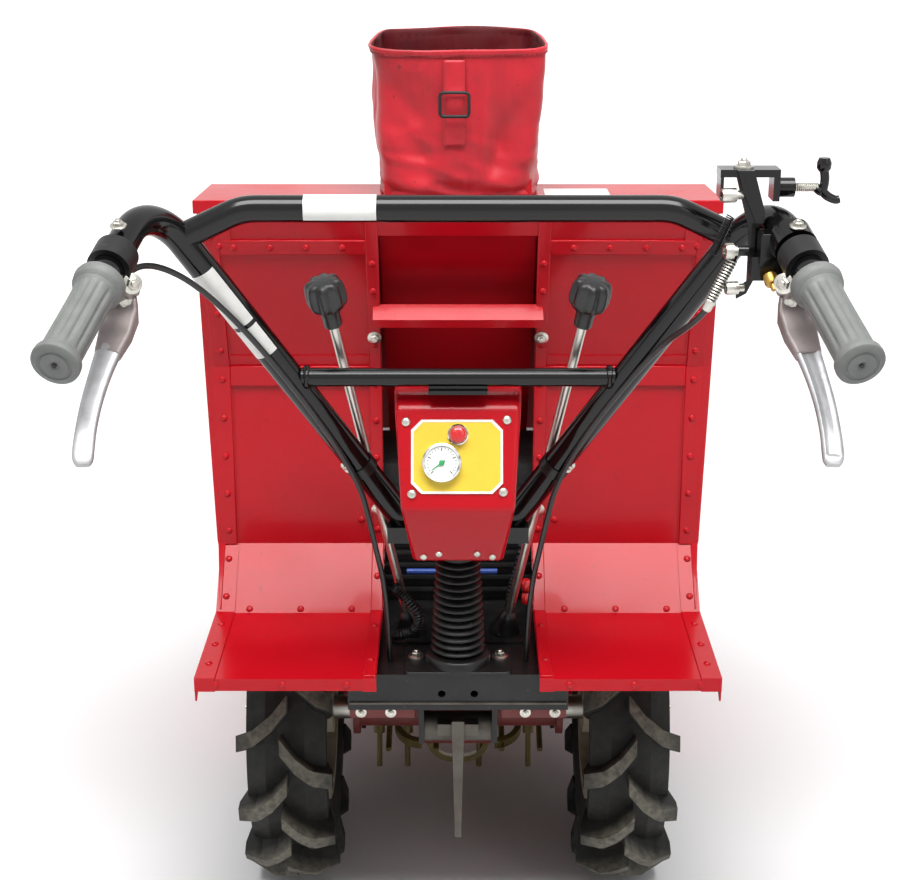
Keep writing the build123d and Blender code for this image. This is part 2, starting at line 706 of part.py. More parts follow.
def make_outlet_collar():
    rear = collar_rear_y()
    front = rear + COLLAR_D
    flange_top = DUCT_TOP_Z + COLLAR_T
    collar = block(-DUCT_X, DUCT_X, DUCT_TOP_REAR_Y, DUCT_TOP_REAR_Y + DUCT_D, DUCT_TOP_Z, flange_top)
    outer_x = COLLAR_X + COLLAR_T
    collar += block(-outer_x, outer_x, rear, front, DUCT_TOP_Z, COLLAR_TOP_Z)
    return collar - block(-COLLAR_X, COLLAR_X, rear + COLLAR_T, front - COLLAR_T, DUCT_TOP_Z - CUT,
                          COLLAR_TOP_Z + CUT)


def spout_loft(inset):
    """Tapered sleeve form from the collar to the rim, moved in by an inset."""
    middle_y = collar_rear_y() + COLLAR_D / 2
    low_w = 2 * (COLLAR_X + COLLAR_T + SEAT + SPOUT_T - inset)
    low_d = COLLAR_D + 2 * (SEAT + SPOUT_T - inset)
    corner = SPOUT_CORNER - inset
    rim_tilt = math.degrees(math.asin(SPOUT_TILT / SPOUT_TOP_D))
    rim = Plane((0, middle_y, TOP_Z + SPOUT_RISE - SPOUT_TILT / 2)).rotated((rim_tilt, 0, 0))
    high = rim * RectangleRounded(SPOUT_TOP_W - 2 * inset, SPOUT_TOP_D - 2 * inset, corner)
    foot = Plane((0, middle_y, TOP_Z + SPOUT_LOW_RISE))
    low = foot * RectangleRounded(low_w, low_d, SPOUT_T - inset + SEAT)
    return loft([low, high], ruled=True)


def make_fabric_spout():
    return spout_loft(0) - spout_loft(SPOUT_T)


def reel_blade(x, sideways, angle):
    """Curved blade at x whose tip bends sideways, turned about the reel's axis."""
    straight_r = BLADE_TIP_R - abs(sideways)
    path = Polyline((x, 0, REEL_DRUM_R / 2), (x, 0, straight_r)) + ThreePointArc(
        (x, 0, straight_r),
        (x + sideways * (1 - math.cos(math.pi / 4)), 0, straight_r + abs(sideways) * math.sin(math.pi / 4)),
        (x + sideways, 0, BLADE_TIP_R),
    )
    section = Plane(origin=path @ 0, z_dir=path % 0) * Rectangle(BLADE_T, BLADE_W)
    return turned_on_reel(sweep(section, path=path), angle)


def turned_on_reel(solid, angle):
    """Piece made about the X axis, turned by an angle and moved to the reel's axis."""
    return Pos(0, REEL_Y, REEL_Z) * Rot(angle, 0, 0) * solid


def make_reel():
    end_x = HANGER_OUT_X
    reel = rod((-REEL_X, REEL_Y, REEL_Z), (REEL_X, REEL_Y, REEL_Z), REEL_DRUM_R)
    reel += rod((-end_x, REEL_Y, REEL_Z), (end_x, REEL_Y, REEL_Z), REEL_SHAFT_R)
    # Each row of the reel: angle about the shaft, tine places, blade places and sideways sweep
    rows = [
        (170, (-112, -72, 30, 100), ((-42, BLADE_SWEEP), (42, -BLADE_SWEEP))),
        (230, (-95, -50, 60, 112), ((-84, BLADE_SWEEP), (84, -BLADE_SWEEP))),
        (290, (-112, -30, 72, 100), ((-42, -BLADE_SWEEP), (42, BLADE_SWEEP))),
        (350, (-95, -60, 50, 112), ((-84, BLADE_SWEEP), (84, -BLADE_SWEEP))),
        (50, (-112, -72, 30, 100), ((-42, BLADE_SWEEP), (42, -BLADE_SWEEP))),
        (110, (-95, -30, 60, 112), ((-84, BLADE_SWEEP), (84, -BLADE_SWEEP))),
    ]
    for angle, tines, blades in rows:
        for x in tines:
            holder = rod((x, 0, REEL_DRUM_R / 2), (x, 0, TINE_HOLDER_TIP_R), TINE_HOLDER_R)
            finger = rod((x, 0, REEL_DRUM_R / 2), (x, 0, TINE_TIP_R), TINE_R)
            reel += turned_on_reel(holder + finger, angle)
        for x, sideways in blades:
            reel += reel_blade(x, sideways, angle)
    return reel


def make_reel_hanger():
    outline = [
        (FRONT_BEAM_REAR_Y, RAIL_LOW_Z),
        (FRONT_BEAM_Y, RAIL_LOW_Z),
        (REEL_Y + HANGER_AHEAD, HANGER_KNEE_Z),
        (REEL_Y + HANGER_AHEAD, HANGER_LOW_Z),
        (REEL_Y - HANGER_BEHIND, HANGER_LOW_Z),
        (FRONT_BEAM_REAR_Y, RAIL_LOW_Z - HANGER_BEND),
    ]
    plate = yz_prism(outline, HANGER_X, HANGER_OUT_X)
    bore = rod((HANGER_X - CUT, REEL_Y, REEL_Z), (HANGER_OUT_X + CUT, REEL_Y, REEL_Z), REEL_SHAFT_R + SLIDE)
    return plate - bore


def make_deflector():
    rear_y = REEL_Y + DEFLECTOR_AHEAD
    outline = [
        (WALL_IN_X, DEFLECTOR_FRONT_Y),
        (HANGER_OUT_X, rear_y),
        (HANGER_OUT_X, rear_y - DEFLECTOR_T),
        (WALL_IN_X, DEFLECTOR_FRONT_Y - DEFLECTOR_T),
    ]
    return xy_prism(outline, DEFLECTOR_LOW_Z, DEFLECTOR_LOW_Z + DEFLECTOR_H)


def make_skid():
    shoe = yz_prism([
        (SKID_REAR_Y, SKID_RISE),
        (SKID_REAR_Y + SKID_RISE, 0),
        (SKID_FRONT_Y - SKID_RISE, 0),
        (SKID_FRONT_Y, SKID_RISE),
        (SKID_FRONT_Y - SKID_T, SKID_RISE),
        (SKID_FRONT_Y - SKID_RISE - SKID_T / 2, SKID_T),
        (SKID_REAR_Y + SKID_RISE + SKID_T / 2, SKID_T),
        (SKID_REAR_Y + SKID_T, SKID_RISE),
    ], WALL_IN_X - SKID_W, WALL_IN_X)
    web_x = WALL_IN_X - SKID_WEB_T
    web = block(web_x, WALL_IN_X, SKID_REAR_Y + SKID_RISE, SKID_WEB_FRONT_Y, SKID_T / 2, SKID_WEB_H)
    return shoe + web


def make_handlebar():
    start = grip_point(GRIP_CAP_T + SEAT)
    right = bent_tube([start, BEND, YOKE_END], TUBE_R, BEND_R)
    bar = right + mirrored(right)
    joint = tube_at_height(TOP_BAR_Z - TOP_BAR_DROP)
    corner = Vector(joint.X - TOP_BAR_RUN, joint.Y, TOP_BAR_Z)
    top_points = [
        Vector(-joint.X, joint.Y, joint.Z),
        Vector(-corner.X, corner.Y, corner.Z),
        corner,
        joint,
    ]
    bar += bent_tube(top_points, TOP_BAR_R, TOP_BAR_BEND)
    low = tube_at_height(LOW_BAR_Z)
    bar += rod((-low.X, low.Y, low.Z), (low.X, low.Y, low.Z), LOW_BAR_R)
    bar += block(-YOKE_X, YOKE_X, YOKE_END.Y - YOKE_D / 2, YOKE_END.Y + YOKE_D / 2,
                 YOKE_END.Z - YOKE_T, YOKE_END.Z)
    bar += block(-BOX_TAB_X, BOX_TAB_X, low.Y - LOW_BAR_R, low.Y + BOX_FRONT, BOX_TOP_Z,
                 BOX_TOP_Z + BOX_TAB_T)
    bar += block(-BOX_TAB_X, BOX_TAB_X, low.Y - LOW_BAR_R / 2, low.Y + LOW_BAR_R / 2, BOX_TOP_Z, low.Z)
    return bar


def make_handle_post():
    return rod((0, POST_Y, DECK_Z), (0, POST_Y, YOKE_END.Z - YOKE_T), POST_R)


def make_bellows():
    bore = POST_R + SEAT
    base_top = BELLOWS_BASE_T
    height = YOKE_END.Z - YOKE_T - BELLOWS_GAP - DECK_Z
    pitch = (height - base_top) / BELLOWS_RIBS
    groove_r = BELLOWS_R - BELLOWS_GROOVE
    profile = [(bore, 0), (BELLOWS_BASE_R, 0), (BELLOWS_BASE_R, base_top), (groove_r, base_top)]
    for i in range(BELLOWS_RIBS):
        profile.append((BELLOWS_R, base_top + (i + 0.5) * pitch))
        profile.append((groove_r, base_top + (i + 1) * pitch))
    profile.append((bore, height))
    return lathe_along(profile, (0, POST_Y, DECK_Z), (0, 0, 1))


def make_grip():
    bore = TUBE_R + SEAT
    flange_at = GRIP_LENGTH - GRIP_FLANGE_T
    profile = [
        (0, 0),
        (GRIP_FLANGE_R, 0),
        (GRIP_FLANGE_R, GRIP_FLANGE_T),
        (GRIP_R, GRIP_FLANGE_T * 2),
        (GRIP_R, flange_at - GRIP_FLANGE_T),
        (GRIP_FLANGE_R, flange_at),
        (GRIP_FLANGE_R, GRIP_LENGTH),
        (bore, GRIP_LENGTH),
        (bore, GRIP_CAP_T),
        (0, GRIP_CAP_T),
    ]
    return lathe_along(profile, GRIP_END, GRIP_AXIS)


def perch_plane():
    """Plane across the tube at the perch, its x axis pointing down from the tube."""
    down = Vector(0, 0, -1)
    across = down - GRIP_AXIS * down.dot(GRIP_AXIS)
    return Plane(origin=grip_point(PERCH_S), x_dir=across, z_dir=GRIP_AXIS)


def make_lever_perch():
    ring = Cylinder(PERCH_R, PERCH_W)
    arm = Pos(PERCH_DROP / 2, 0, 0) * Box(PERCH_DROP, PERCH_R, PERCH_W)
    bore = Cylinder(TUBE_R + SEAT, 2 * PERCH_W)
    return perch_plane() * (ring + arm - bore)


def lever_root():
    """Start of the brake lever, against the lower end of its perch."""
    return perch_plane().from_local_coords(Vector(PERCH_DROP + SEAT, 0, 0))


def make_brake_lever():
    root = lever_root()
    drop = perch_plane().from_local_coords(Vector(PERCH_DROP + LEVER_W, 0, 0))
    bend = perch_plane().from_local_coords(Vector(LEVER_BEND_DROP, LEVER_BEND_IN, -LEVER_BEND_BACK))
    tip = perch_plane().from_local_coords(Vector(LEVER_TIP_DROP, LEVER_TIP_IN, -LEVER_TIP_BACK))
    path = FilletPolyline(root, drop, bend, tip, radius=LEVER_BEND_R)
    section = Plane(origin=path @ 0, z_dir=path % 0) * Rectangle(LEVER_W, LEVER_T)
    return sweep(section, path=path) + Pos(*tip) * Sphere(LEVER_BALL_R)


def make_clutch_bracket():
    x = CLAMP_SEAT.X
    head_x = x - LEVER_PLATE_IN
    shank_x = x - LEVER_PLATE_OUT
    strip_x = shank_x - STRIP_W
    foot_x = head_x + STRIP_W / 2
    outer_x = x - OUTER_PLATE_IN
    foot_top_z = BRACKET_Z + FOOT_TOP_RISE
    shoulder_z = BRIDGE_Z - HEAD_H
    top_z = BRIDGE_Z + BRIDGE_T
    latch_z = BRIDGE_Z - LATCH_H
    bolt_z = BRACKET_Z + SPRING_BOLT_RISE
    lever_plate = [
        (head_x, BRIDGE_Z),
        (head_x + STRIP_W, BRIDGE_Z),
        (shank_x, shoulder_z),
        (shank_x, foot_top_z + STRIP_W),
        (strip_x, BRACKET_Z + STRIP_W / 2),
        (foot_x, BRACKET_Z),
        (foot_x, BRACKET_Z + STRIP_W),
        (strip_x, foot_top_z),
        (strip_x, shoulder_z),
    ]
    latch = [
        (head_x, top_z),
        (head_x + 1.5 * STRIP_W, top_z),
        (shank_x + STRIP_W / 4, latch_z + STRIP_W),
        (shank_x + STRIP_W / 4, latch_z),
        (shank_x - STRIP_W / 2, latch_z),
        (foot_x, BRIDGE_Z - STRIP_W),
    ]
    plate_front_y = CLUTCH_Y + LEVER_PLATE_T
    front_y = CLUTCH_Y + BRACKET_D
    bracket = xz_prism(lever_plate, CLUTCH_Y, plate_front_y)
    bracket += xz_prism(latch, CLUTCH_Y - LATCH_T, CLUTCH_Y)
    bracket += block(x - BRIDGE_IN, outer_x + OUTER_PLATE_T, CLUTCH_Y, front_y, BRIDGE_Z, top_z)
    bracket += block(outer_x, outer_x + OUTER_PLATE_T, CLUTCH_Y, front_y, BRIDGE_Z - OUTER_PLATE_H, BRIDGE_Z)
    bracket += rod((outer_x, SCREW_Y, SCREW_Z), (x + BOSS_OUT, SCREW_Y, SCREW_Z), BOSS_R)
    bolt_y = CLUTCH_Y + LEVER_PLATE_T / 2
    bracket += rod((strip_x, bolt_y, bolt_z), (x - SPRING_BOLT_IN, bolt_y, bolt_z), SPRING_BOLT_R)
    spring_top = (x - SPRING_BOLT_IN + SPRING_BOLT_R, bolt_y, bolt_z)
    bracket += rod(spring_top, (x - FERRULE_IN, bolt_y, BRACKET_Z - FERRULE_DROP), FERRULE_R)
    bracket += rod(grip_point(CLAMP_S - CLAMP_HALF), grip_point(CLAMP_S + CLAMP_HALF), CLAMP_R)
    arm_y = CLAMP_SEAT.Y + CLAMP_R * perch_plane().x_dir.Y
    arm_z = CLAMP_SEAT.Z - ARM_BELOW
    bracket += block(strip_x, x, arm_y, plate_front_y, arm_z - ARM_H, arm_z)
    tube = rod(grip_point(CLAMP_S - CLAMP_R), grip_point(CLAMP_S + CLAMP_R), TUBE_R + SEAT)
    return bracket - tube


def make_wing_screw():
    x = CLAMP_SEAT.X
    y = SCREW_Y
    crank_x = x + CRANK_OUT
    top_z = SCREW_Z + CRANK_UP
    low_z = SCREW_Z - CRANK_DOWN
    screw = rod((x + BOSS_OUT + SEAT, y, SCREW_Z), (crank_x, y, SCREW_Z), SCREW_R)
    screw += rod((crank_x, y, low_z), (crank_x, y, top_z), CRANK_R)
    screw += rod((crank_x, y, low_z), (x + CRANK_END_OUT, y, low_z), CRANK_R)
    screw += Pos(crank_x, y, low_z) * Sphere(CRANK_R)
    return screw + Pos(crank_x, y, top_z) * Sphere(CRANK_KNOB_R)


def make_gear_lever():
    return rod(GEAR_FOOT, GEAR_TOP, GEAR_ROD_R) - block(0, BODY_X, LIP_Y, 0, 0, DECK_Z)


def make_gear_knob():
    axis = (GEAR_TOP - GEAR_FOOT).normalized()
    profile = [(0, 0), (KNOB_COLLAR_R, 0), (KNOB_COLLAR_R, KNOB_COLLAR_H)]
    for radius_share, height_share in KNOB_PROFILE:
        profile.append((KNOB_R * radius_share, KNOB_COLLAR_H + KNOB_H * height_share))
    profile.append((0, KNOB_COLLAR_H + KNOB_H))
    return lathe_along(profile, GEAR_TOP, axis)


def cable_beside_tube(z):
    """Place of a cable that lies on the rear side of the right-hand tube at a height."""
    rear = Vector(0, -1, 0)
    side = (rear - TUBE_AXIS * rear.dot(TUBE_AXIS)).normalized()
    return tube_at_height(z) + side * (TUBE_R + CABLE_R + SEAT)


def make_cable(start_points, below_bend):
    """Cable from its start points to the tube, then down to the deck, with arcs as large as its runs allow."""
    points = start_points + [
        cable_beside_tube(BEND.Z - below_bend),
        cable_beside_tube(DECK_Z + CABLE_LOW_RISE),
        Vector(CABLE_TURN_X, CABLE_TURN_Y, DECK_Z + CABLE_TURN_RISE),
        Vector(CABLE_DROP_X, CABLE_DROP_Y, DECK_Z + CABLE_DROP_RISE),
        Vector(CABLE_FOOT_X, CABLE_FOOT_Y, DECK_Z + SEAT),
    ]
    radii = []
    for before, corner, after in zip(points, points[1:], points[2:]):
        turn = math.radians((corner - before).get_angle(after - corner))
        run = min((corner - before).length, (after - corner).length)
        radii.append(CABLE_ARC_SHARE * run / math.tan(turn / 2))
    return bent_tube(points, CABLE_R, radii)


def make_brake_cable():
    start = perch_plane().from_local_coords(Vector(CABLE_OUT, 0, PERCH_W / 2 + SEAT))
    return mirrored(make_cable([start, start + GRIP_AXIS * CABLE_LEAD], BRAKE_CABLE_BELOW))


def make_clutch_cable():
    spring_run = SPRING_BOLT_IN - SPRING_BOLT_R - FERRULE_IN
    fall = Vector(spring_run, 0, -FERRULE_DROP - SPRING_BOLT_RISE).normalized()
    ferrule = Vector(CLAMP_SEAT.X - FERRULE_IN, CLUTCH_Y + LEVER_PLATE_T / 2, BRACKET_Z - FERRULE_DROP)
    start = ferrule + fall * SEAT
    return make_cable([start, start + fall * CABLE_FALL], CLUTCH_CABLE_BELOW)


def face_plane():
    """Plane of the control box's sloping face, x to the right and y up the face."""
    low = Vector(0, LOW_BAR_Y - BOX_FACE_REAR, BOX_FACE_LOW_Z)
    high = Vector(0, LOW_BAR_Y + BOX_TOP_REAR, BOX_TOP_Z - BOX_FACE_DROP)
    up = (high - low).normalized()
    normal = Vector(1, 0, 0).cross(up)
    return Plane(origin=(low + high) / 2, x_dir=(1, 0, 0), z_dir=normal)


def make_control_box():
    front_y = LOW_BAR_Y + BOX_FRONT
    face_y = LOW_BAR_Y - BOX_FACE_REAR
    side_view = [
        (front_y, BOX_TOP_Z),
        (LOW_BAR_Y + BOX_TOP_REAR, BOX_TOP_Z),
        (LOW_BAR_Y + BOX_TOP_REAR, BOX_TOP_Z - BOX_FACE_DROP),
        (face_y, BOX_FACE_LOW_Z),
        (LOW_BAR_Y - BOX_LOW_REAR, BOX_LOW_Z),
        (LOW_BAR_Y + BOX_LOW_FRONT, BOX_LOW_Z),
    ]
    half_view = [(BOX_X, BOX_TOP_Z), (BOX_WAIST_X, BOX_FACE_LOW_Z), (BOX_LOW_X, BOX_LOW_Z)]
    rear_view = half_view + [(-x, z) for x, z in half_view[::-1]]
    box = yz_prism(side_view, -BOX_X, BOX_X) & xz_prism(rear_view, face_y, front_y)
    front = box.faces().sort_by(Axis.Y)[-1]
    return offset(box, amount=-BOX_WALL, openings=front)


def make_panel_plate():
    half_w, half_h = PLATE_W / 2, PLATE_H / 2
    points = [
        (half_w, half_h - PLATE_CUT), (half_w - PLATE_CUT, half_h),
        (PLATE_CUT - half_w, half_h), (-half_w, half_h - PLATE_CUT),
        (-half_w, PLATE_CUT - half_h), (PLATE_CUT - half_w, -half_h),
        (half_w - PLATE_CUT, -half_h), (half_w, PLATE_CUT - half_h),
    ]
    return face_plane() * extrude(make_face(Polyline(*points, close=True)), amount=PLATE_T)


def on_plate(spot, radius, height):
    """Round instrument standing on the panel plate."""
    foot = (Align.CENTER, Align.CENTER, Align.MIN)
    return face_plane() * Pos(spot[0], spot[1], PLATE_T) * Cylinder(radius, height, align=foot)


def on_stake_axis(half_length, radius):
    """Round bar on the stake's hinge axis."""
    start = (-half_length, STAKE_PIVOT_Y, STAKE_PIVOT_Z)
    return rod(start, (half_length, STAKE_PIVOT_Y, STAKE_PIVOT_Z), radius)


def make_stake_bracket():
    bracket = None
    for side in (-1, 1):
        inner = side * (STAKE_BARREL_X + SEAT)
        outer = side * (STAKE_BARREL_X + SEAT + STAKE_LUG_T)
        lug = block(min(inner, outer), max(inner, outer),
                    STAKE_PIVOT_Y - STAKE_LUG_D, STAKE_PIVOT_Y + STAKE_LUG_D,
                    STAKE_PIVOT_Z - STAKE_LUG_D / 2, RAIL_LOW_Z)
        bracket = lug if bracket is None else bracket + lug
    pin_x = STAKE_BARREL_X + SEAT + STAKE_LUG_T
    return bracket + on_stake_axis(pin_x, STAKE_PIN_R)


def make_stake():
    barrel = on_stake_axis(STAKE_BARREL_X, STAKE_BARREL_R)
    pad = block(-STAKE_PAD_X, STAKE_PAD_X, STAKE_Y, STAKE_PIVOT_Y, STAKE_PIVOT_Z, STAKE_PIVOT_Z + STAKE_PAD_H)
    top_z = RAIL_LOW_Z - STAKE_TOP_DROP
    high = Plane((0, STAKE_Y, top_z)) * Rectangle(STAKE_TOP_W, STAKE_TOP_W)
    low = Plane((0, STAKE_Y, top_z - STAKE_LENGTH)) * Rectangle(STAKE_LOW_W, STAKE_LOW_W)
    prong = loft([low, high], ruled=True)
    return barrel + pad + prong - on_stake_axis(STAKE_BARREL_X + CUT, STAKE_PIN_R + SLIDE)


single_pieces = {
    "axle_gear_case": make_axle_gear_case,
    "chassis_frame": make_chassis_frame,
    "engine_block": make_engine,
    "channel_crossbar": make_channel_crossbar,
    "top_cap": make_top_cap,
    "front_hood": make_hood,
    "elevator_duct": make_elevator_duct,
    "outlet_collar": make_outlet_collar,
    "fabric_spout": make_fabric_spout,
    "pickup_reel": make_reel,
    "handlebar": make_handlebar,
    "handle_post": make_handle_post,
    "bellows": make_bellows,
    "clutch_bracket": make_clutch_bracket,
    "wing_screw": make_wing_screw,
    "brake_cable": make_brake_cable,
    "clutch_cable": make_clutch_cable,
    "control_box": make_control_box,
    "panel_plate": make_panel_plate,
    "stake_bracket": make_stake_bracket,
    "stake": make_stake,
}
paired_pieces = {
    "tyre": make_tyre,
    "rim": make_rim,
    "axle_shaft": make_axle_shaft,
    "side_wall": make_side_wall,
    "rear_panel": make_rear_panel,
    "channel_cheek": make_channel_cheek,
    "reel_hanger": make_reel_hanger,
    "deflector": make_deflector,
    "skid": make_skid,
    "grip": make_grip,
    "lever_perch": make_lever_perch,
    "brake_lever": make_brake_lever,
    "gear_lever": make_gear_lever,
    "gear_knob": make_gear_knob,
}

pieces = {name: make() for name, make in single_pieces.items()}
pieces["gauge"] = on_plate(GAUGE_SPOT, GAUGE_R, GAUGE_T)
pieces["push_button"] = on_plate(BUTTON_SPOT, BUTTON_R, BUTTON_T)
for name, make in paired_pieces.items():
    right = make()
    pieces[name + "_right"] = right
    pieces[name + "_left"] = mirrored(right)

os.makedirs("parts", exist_ok=True)
for name, solid in pieces.items():
    solid.label = name
    export_step(solid, f"parts/{name}.step")
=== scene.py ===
import bmesh
import bpy
import json
import math
from mathutils import Matrix, Vector, noise
from mathutils.bvhtree import BVHTree


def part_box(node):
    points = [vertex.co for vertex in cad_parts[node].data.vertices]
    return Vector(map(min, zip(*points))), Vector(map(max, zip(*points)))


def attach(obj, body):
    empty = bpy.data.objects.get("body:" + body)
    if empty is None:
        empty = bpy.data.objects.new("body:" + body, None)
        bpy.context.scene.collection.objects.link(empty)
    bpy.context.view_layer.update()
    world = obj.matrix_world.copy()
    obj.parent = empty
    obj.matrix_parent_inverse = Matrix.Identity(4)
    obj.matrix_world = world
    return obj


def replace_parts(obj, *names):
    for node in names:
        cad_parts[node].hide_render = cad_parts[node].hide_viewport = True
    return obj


# Walk-behind harvester, seen from the operator's side.  Metres; X right, Y forward, Z up.

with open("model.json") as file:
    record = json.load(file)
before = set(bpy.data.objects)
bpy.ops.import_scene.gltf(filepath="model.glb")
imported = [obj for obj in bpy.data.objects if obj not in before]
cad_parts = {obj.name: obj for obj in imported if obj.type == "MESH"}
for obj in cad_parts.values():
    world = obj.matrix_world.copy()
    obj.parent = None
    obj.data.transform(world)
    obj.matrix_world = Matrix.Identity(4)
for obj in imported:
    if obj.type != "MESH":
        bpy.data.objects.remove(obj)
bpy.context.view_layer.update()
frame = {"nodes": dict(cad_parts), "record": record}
nodes = frame["nodes"]

# Handlebar: grip end, bend and lower end of the right-hand tube
GRIP_END = Vector((0.334, -0.614, 0.834))
BEND = Vector((0.290, -0.388, 0.934))
YOKE_END = Vector((0.058, -0.240, 0.556))
TUBE_R = 0.0145
GRIP_AXIS = (BEND - GRIP_END).normalized()
TUBE_AXIS = (YOKE_END - BEND).normalized()
TOP_BAR_R = 0.013

# Sheet-metal body: thickness, half widths of the body and of its channel, and the side view as (y, z)
SHEET = 0.002
BODY_X = 0.284
CHANNEL_X = 0.103
LIP = (-0.310, 0.386)
SHELF_EDGE = (-0.310, 0.400)
JOINT = (-0.134, 0.400)
FOOT = (-0.071, 0.463)
KNEE = (-0.071, 0.684)
TOP = (-0.125, 0.871)
TOP_FRONT = (-0.020, 0.871)
HOOD_KNEE = (0.340, 0.480)
NOSE = (0.600, 0.330)
RUNS = {
    "lip": (LIP, SHELF_EDGE),
    "shelf": (SHELF_EDGE, JOINT),
    "slope": (JOINT, FOOT),
    "wall": (FOOT, KNEE),
    "lean": (KNEE, TOP),
    "cap": (TOP, TOP_FRONT),
    "hood": (TOP_FRONT, HOOD_KNEE),
    "nose": (HOOD_KNEE, NOSE),
}

# Control panel: middle of the sloping face, and its direction up the face
FACE_LOW = Vector((0, -0.3483, 0.608))
FACE_HIGH = Vector((0, -0.3063, 0.718))
PLATE_T = 0.0016
AXLE_Z = 0.210


def linear(red, green, blue):
    """Linear colour of a colour written as 0 to 255 values on screen."""
    values = [v / 255 for v in (red, green, blue)]
    return tuple(v / 12.92 if v <= 0.04045 else ((v + 0.055) / 1.055) ** 2.4 for v in values) + (1.0,)


# Materials

def noise_node(tree, place, scale, detail=4.0, roughness=0.55):
    node = tree.nodes.new("ShaderNodeTexNoise")
    node.inputs["Scale"].default_value = scale
    node.inputs["Detail"].default_value = detail
    node.inputs["Roughness"].default_value = roughness
    tree.links.new(place.outputs["Object"], node.inputs["Vector"])
    return node


def ranged(tree, source, low, high, to_low, to_high):
    node = tree.nodes.new("ShaderNodeMapRange")
    node.inputs["From Min"].default_value = low
    node.inputs["From Max"].default_value = high
    node.inputs["To Min"].default_value = to_low
    node.inputs["To Max"].default_value = to_high
    tree.links.new(source, node.inputs["Value"])
    return node.outputs["Result"]


def mixed(tree, factor, first, second):
    """Colour mix of two colours, either of them a colour or a socket."""
    node = tree.nodes.new("ShaderNodeMix")
    node.data_type = "RGBA"
    tree.links.new(factor, node.inputs["Factor"])
    for value, socket in ((first, node.inputs["A"]), (second, node.inputs["B"])):
        if isinstance(value, bpy.types.NodeSocket):
            tree.links.new(value, socket)
        else:
            socket.default_value = value
    return node.outputs["Result"]


def math_node(tree, operation, first, second):
    node = tree.nodes.new("ShaderNodeMath")
    node.operation = operation
    tree.links.new(first, node.inputs[0])
    tree.links.new(second, node.inputs[1])
    return node.outputs["Value"]


def length_node(tree, vector):
    node = tree.nodes.new("ShaderNodeVectorMath")
    node.operation = "LENGTH"
    tree.links.new(vector, node.inputs[0])
    return node.outputs["Value"]


def found(tree, kind):
    """First node of a kind."""
    return next(node for node in tree.nodes if node.type == kind)


COAT_ROUGHNESS = 0.05
SPECK_SCALE = 160.0
SPECK_RANGE = (0.66, 0.74)
SPECK_COVER = 0.8
DULL_SCALE = 3.5    # spots of dullness for each patch of colour
DULL_RANGE = (0.3, 0.7)


def surface(name, colour, other, roughness, metallic=0.0, coat=0.0, specular=0.5, patch=9.0, share=(0.45, 0.8),
            speck=None, rough_spread=0.08, grain=700.0, bump=0.12, depth=0.0003):
    """Material with patches of a second colour, specks, uneven roughness and a fine grain."""
    mat = bpy.data.materials.new(name)
    mat.use_nodes = True
    tree = mat.node_tree
    shader = tree.nodes["Principled BSDF"]
    shader.inputs["Metallic"].default_value = metallic
    shader.inputs["Coat Weight"].default_value = coat
    shader.inputs["Specular IOR Level"].default_value = specular
    shader.inputs["Coat Roughness"].default_value = COAT_ROUGHNESS
    place = tree.nodes.new("ShaderNodeTexCoord")
    patches = noise_node(tree, place, patch, detail=8.0, roughness=0.6)
    cover = ranged(tree, patches.outputs["Fac"], *share, 0.0, 1.0)
    tint = mixed(tree, cover, linear(*colour), linear(*other))
    if speck:
        specks = noise_node(tree, place, SPECK_SCALE, detail=3.0)
        cover = ranged(tree, specks.outputs["Fac"], *SPECK_RANGE, 0.0, SPECK_COVER)
        tint = mixed(tree, cover, tint, linear(*speck))
    tree.links.new(tint, shader.inputs["Base Color"])
    dull = noise_node(tree, place, DULL_SCALE * patch, detail=5.0)
    rough = ranged(tree, dull.outputs["Fac"], *DULL_RANGE, roughness - rough_spread, roughness + rough_spread)
    tree.links.new(rough, shader.inputs["Roughness"])
    fine = noise_node(tree, place, grain, detail=2.0)
    relief = tree.nodes.new("ShaderNodeBump")
    relief.inputs["Strength"].default_value = bump
    relief.inputs["Distance"].default_value = depth
    tree.links.new(fine.outputs["Fac"], relief.inputs["Height"])
    tree.links.new(relief.outputs["Normal"], shader.inputs["Normal"])
    return mat


WEAVE_SCALE = 220.0
WEAVE_DISTORTION = 0.6
WEAVE_BUMP = 0.25
CLOTH_SHEEN = 0.15


def cloth_material(name, colour, other):
    """Coated cloth: a plain weave under a satin skin, with scuffs."""
    mat = surface(name, colour, other, 0.42, specular=0.35, share=(0.46, 0.74), speck=(70, 20, 20),
                  rough_spread=0.1)
    tree = mat.node_tree
    tree.nodes["Principled BSDF"].inputs["Sheen Weight"].default_value = CLOTH_SHEEN
    waves = []
    for direction in ("X", "Z"):
        wave = tree.nodes.new("ShaderNodeTexWave")
        wave.bands_direction = direction
        wave.inputs["Scale"].default_value = WEAVE_SCALE
        wave.inputs["Distortion"].default_value = WEAVE_DISTORTION
        tree.links.new(found(tree, "TEX_COORD").outputs["Object"], wave.inputs["Vector"])
        waves.append(wave.outputs["Fac"])
    relief = found(tree, "BUMP")
    relief.inputs["Strength"].default_value = WEAVE_BUMP
    tree.links.new(math_node(tree, "MAXIMUM", *waves), relief.inputs["Height"])
    return mat


# Tyres: beige that grows from the carcass out to the lug tips is painted light on the lugs and painted shade
# between them, broken into patches of dust
LUG_LIGHT_RADII = (0.190, 0.207)
LUG_LIGHT_ON_CARCASS = 0.08
DUST_SCALE = 110.0
DUST_RANGE = (0.3, 0.62)
DUST_LEAST = 0.35


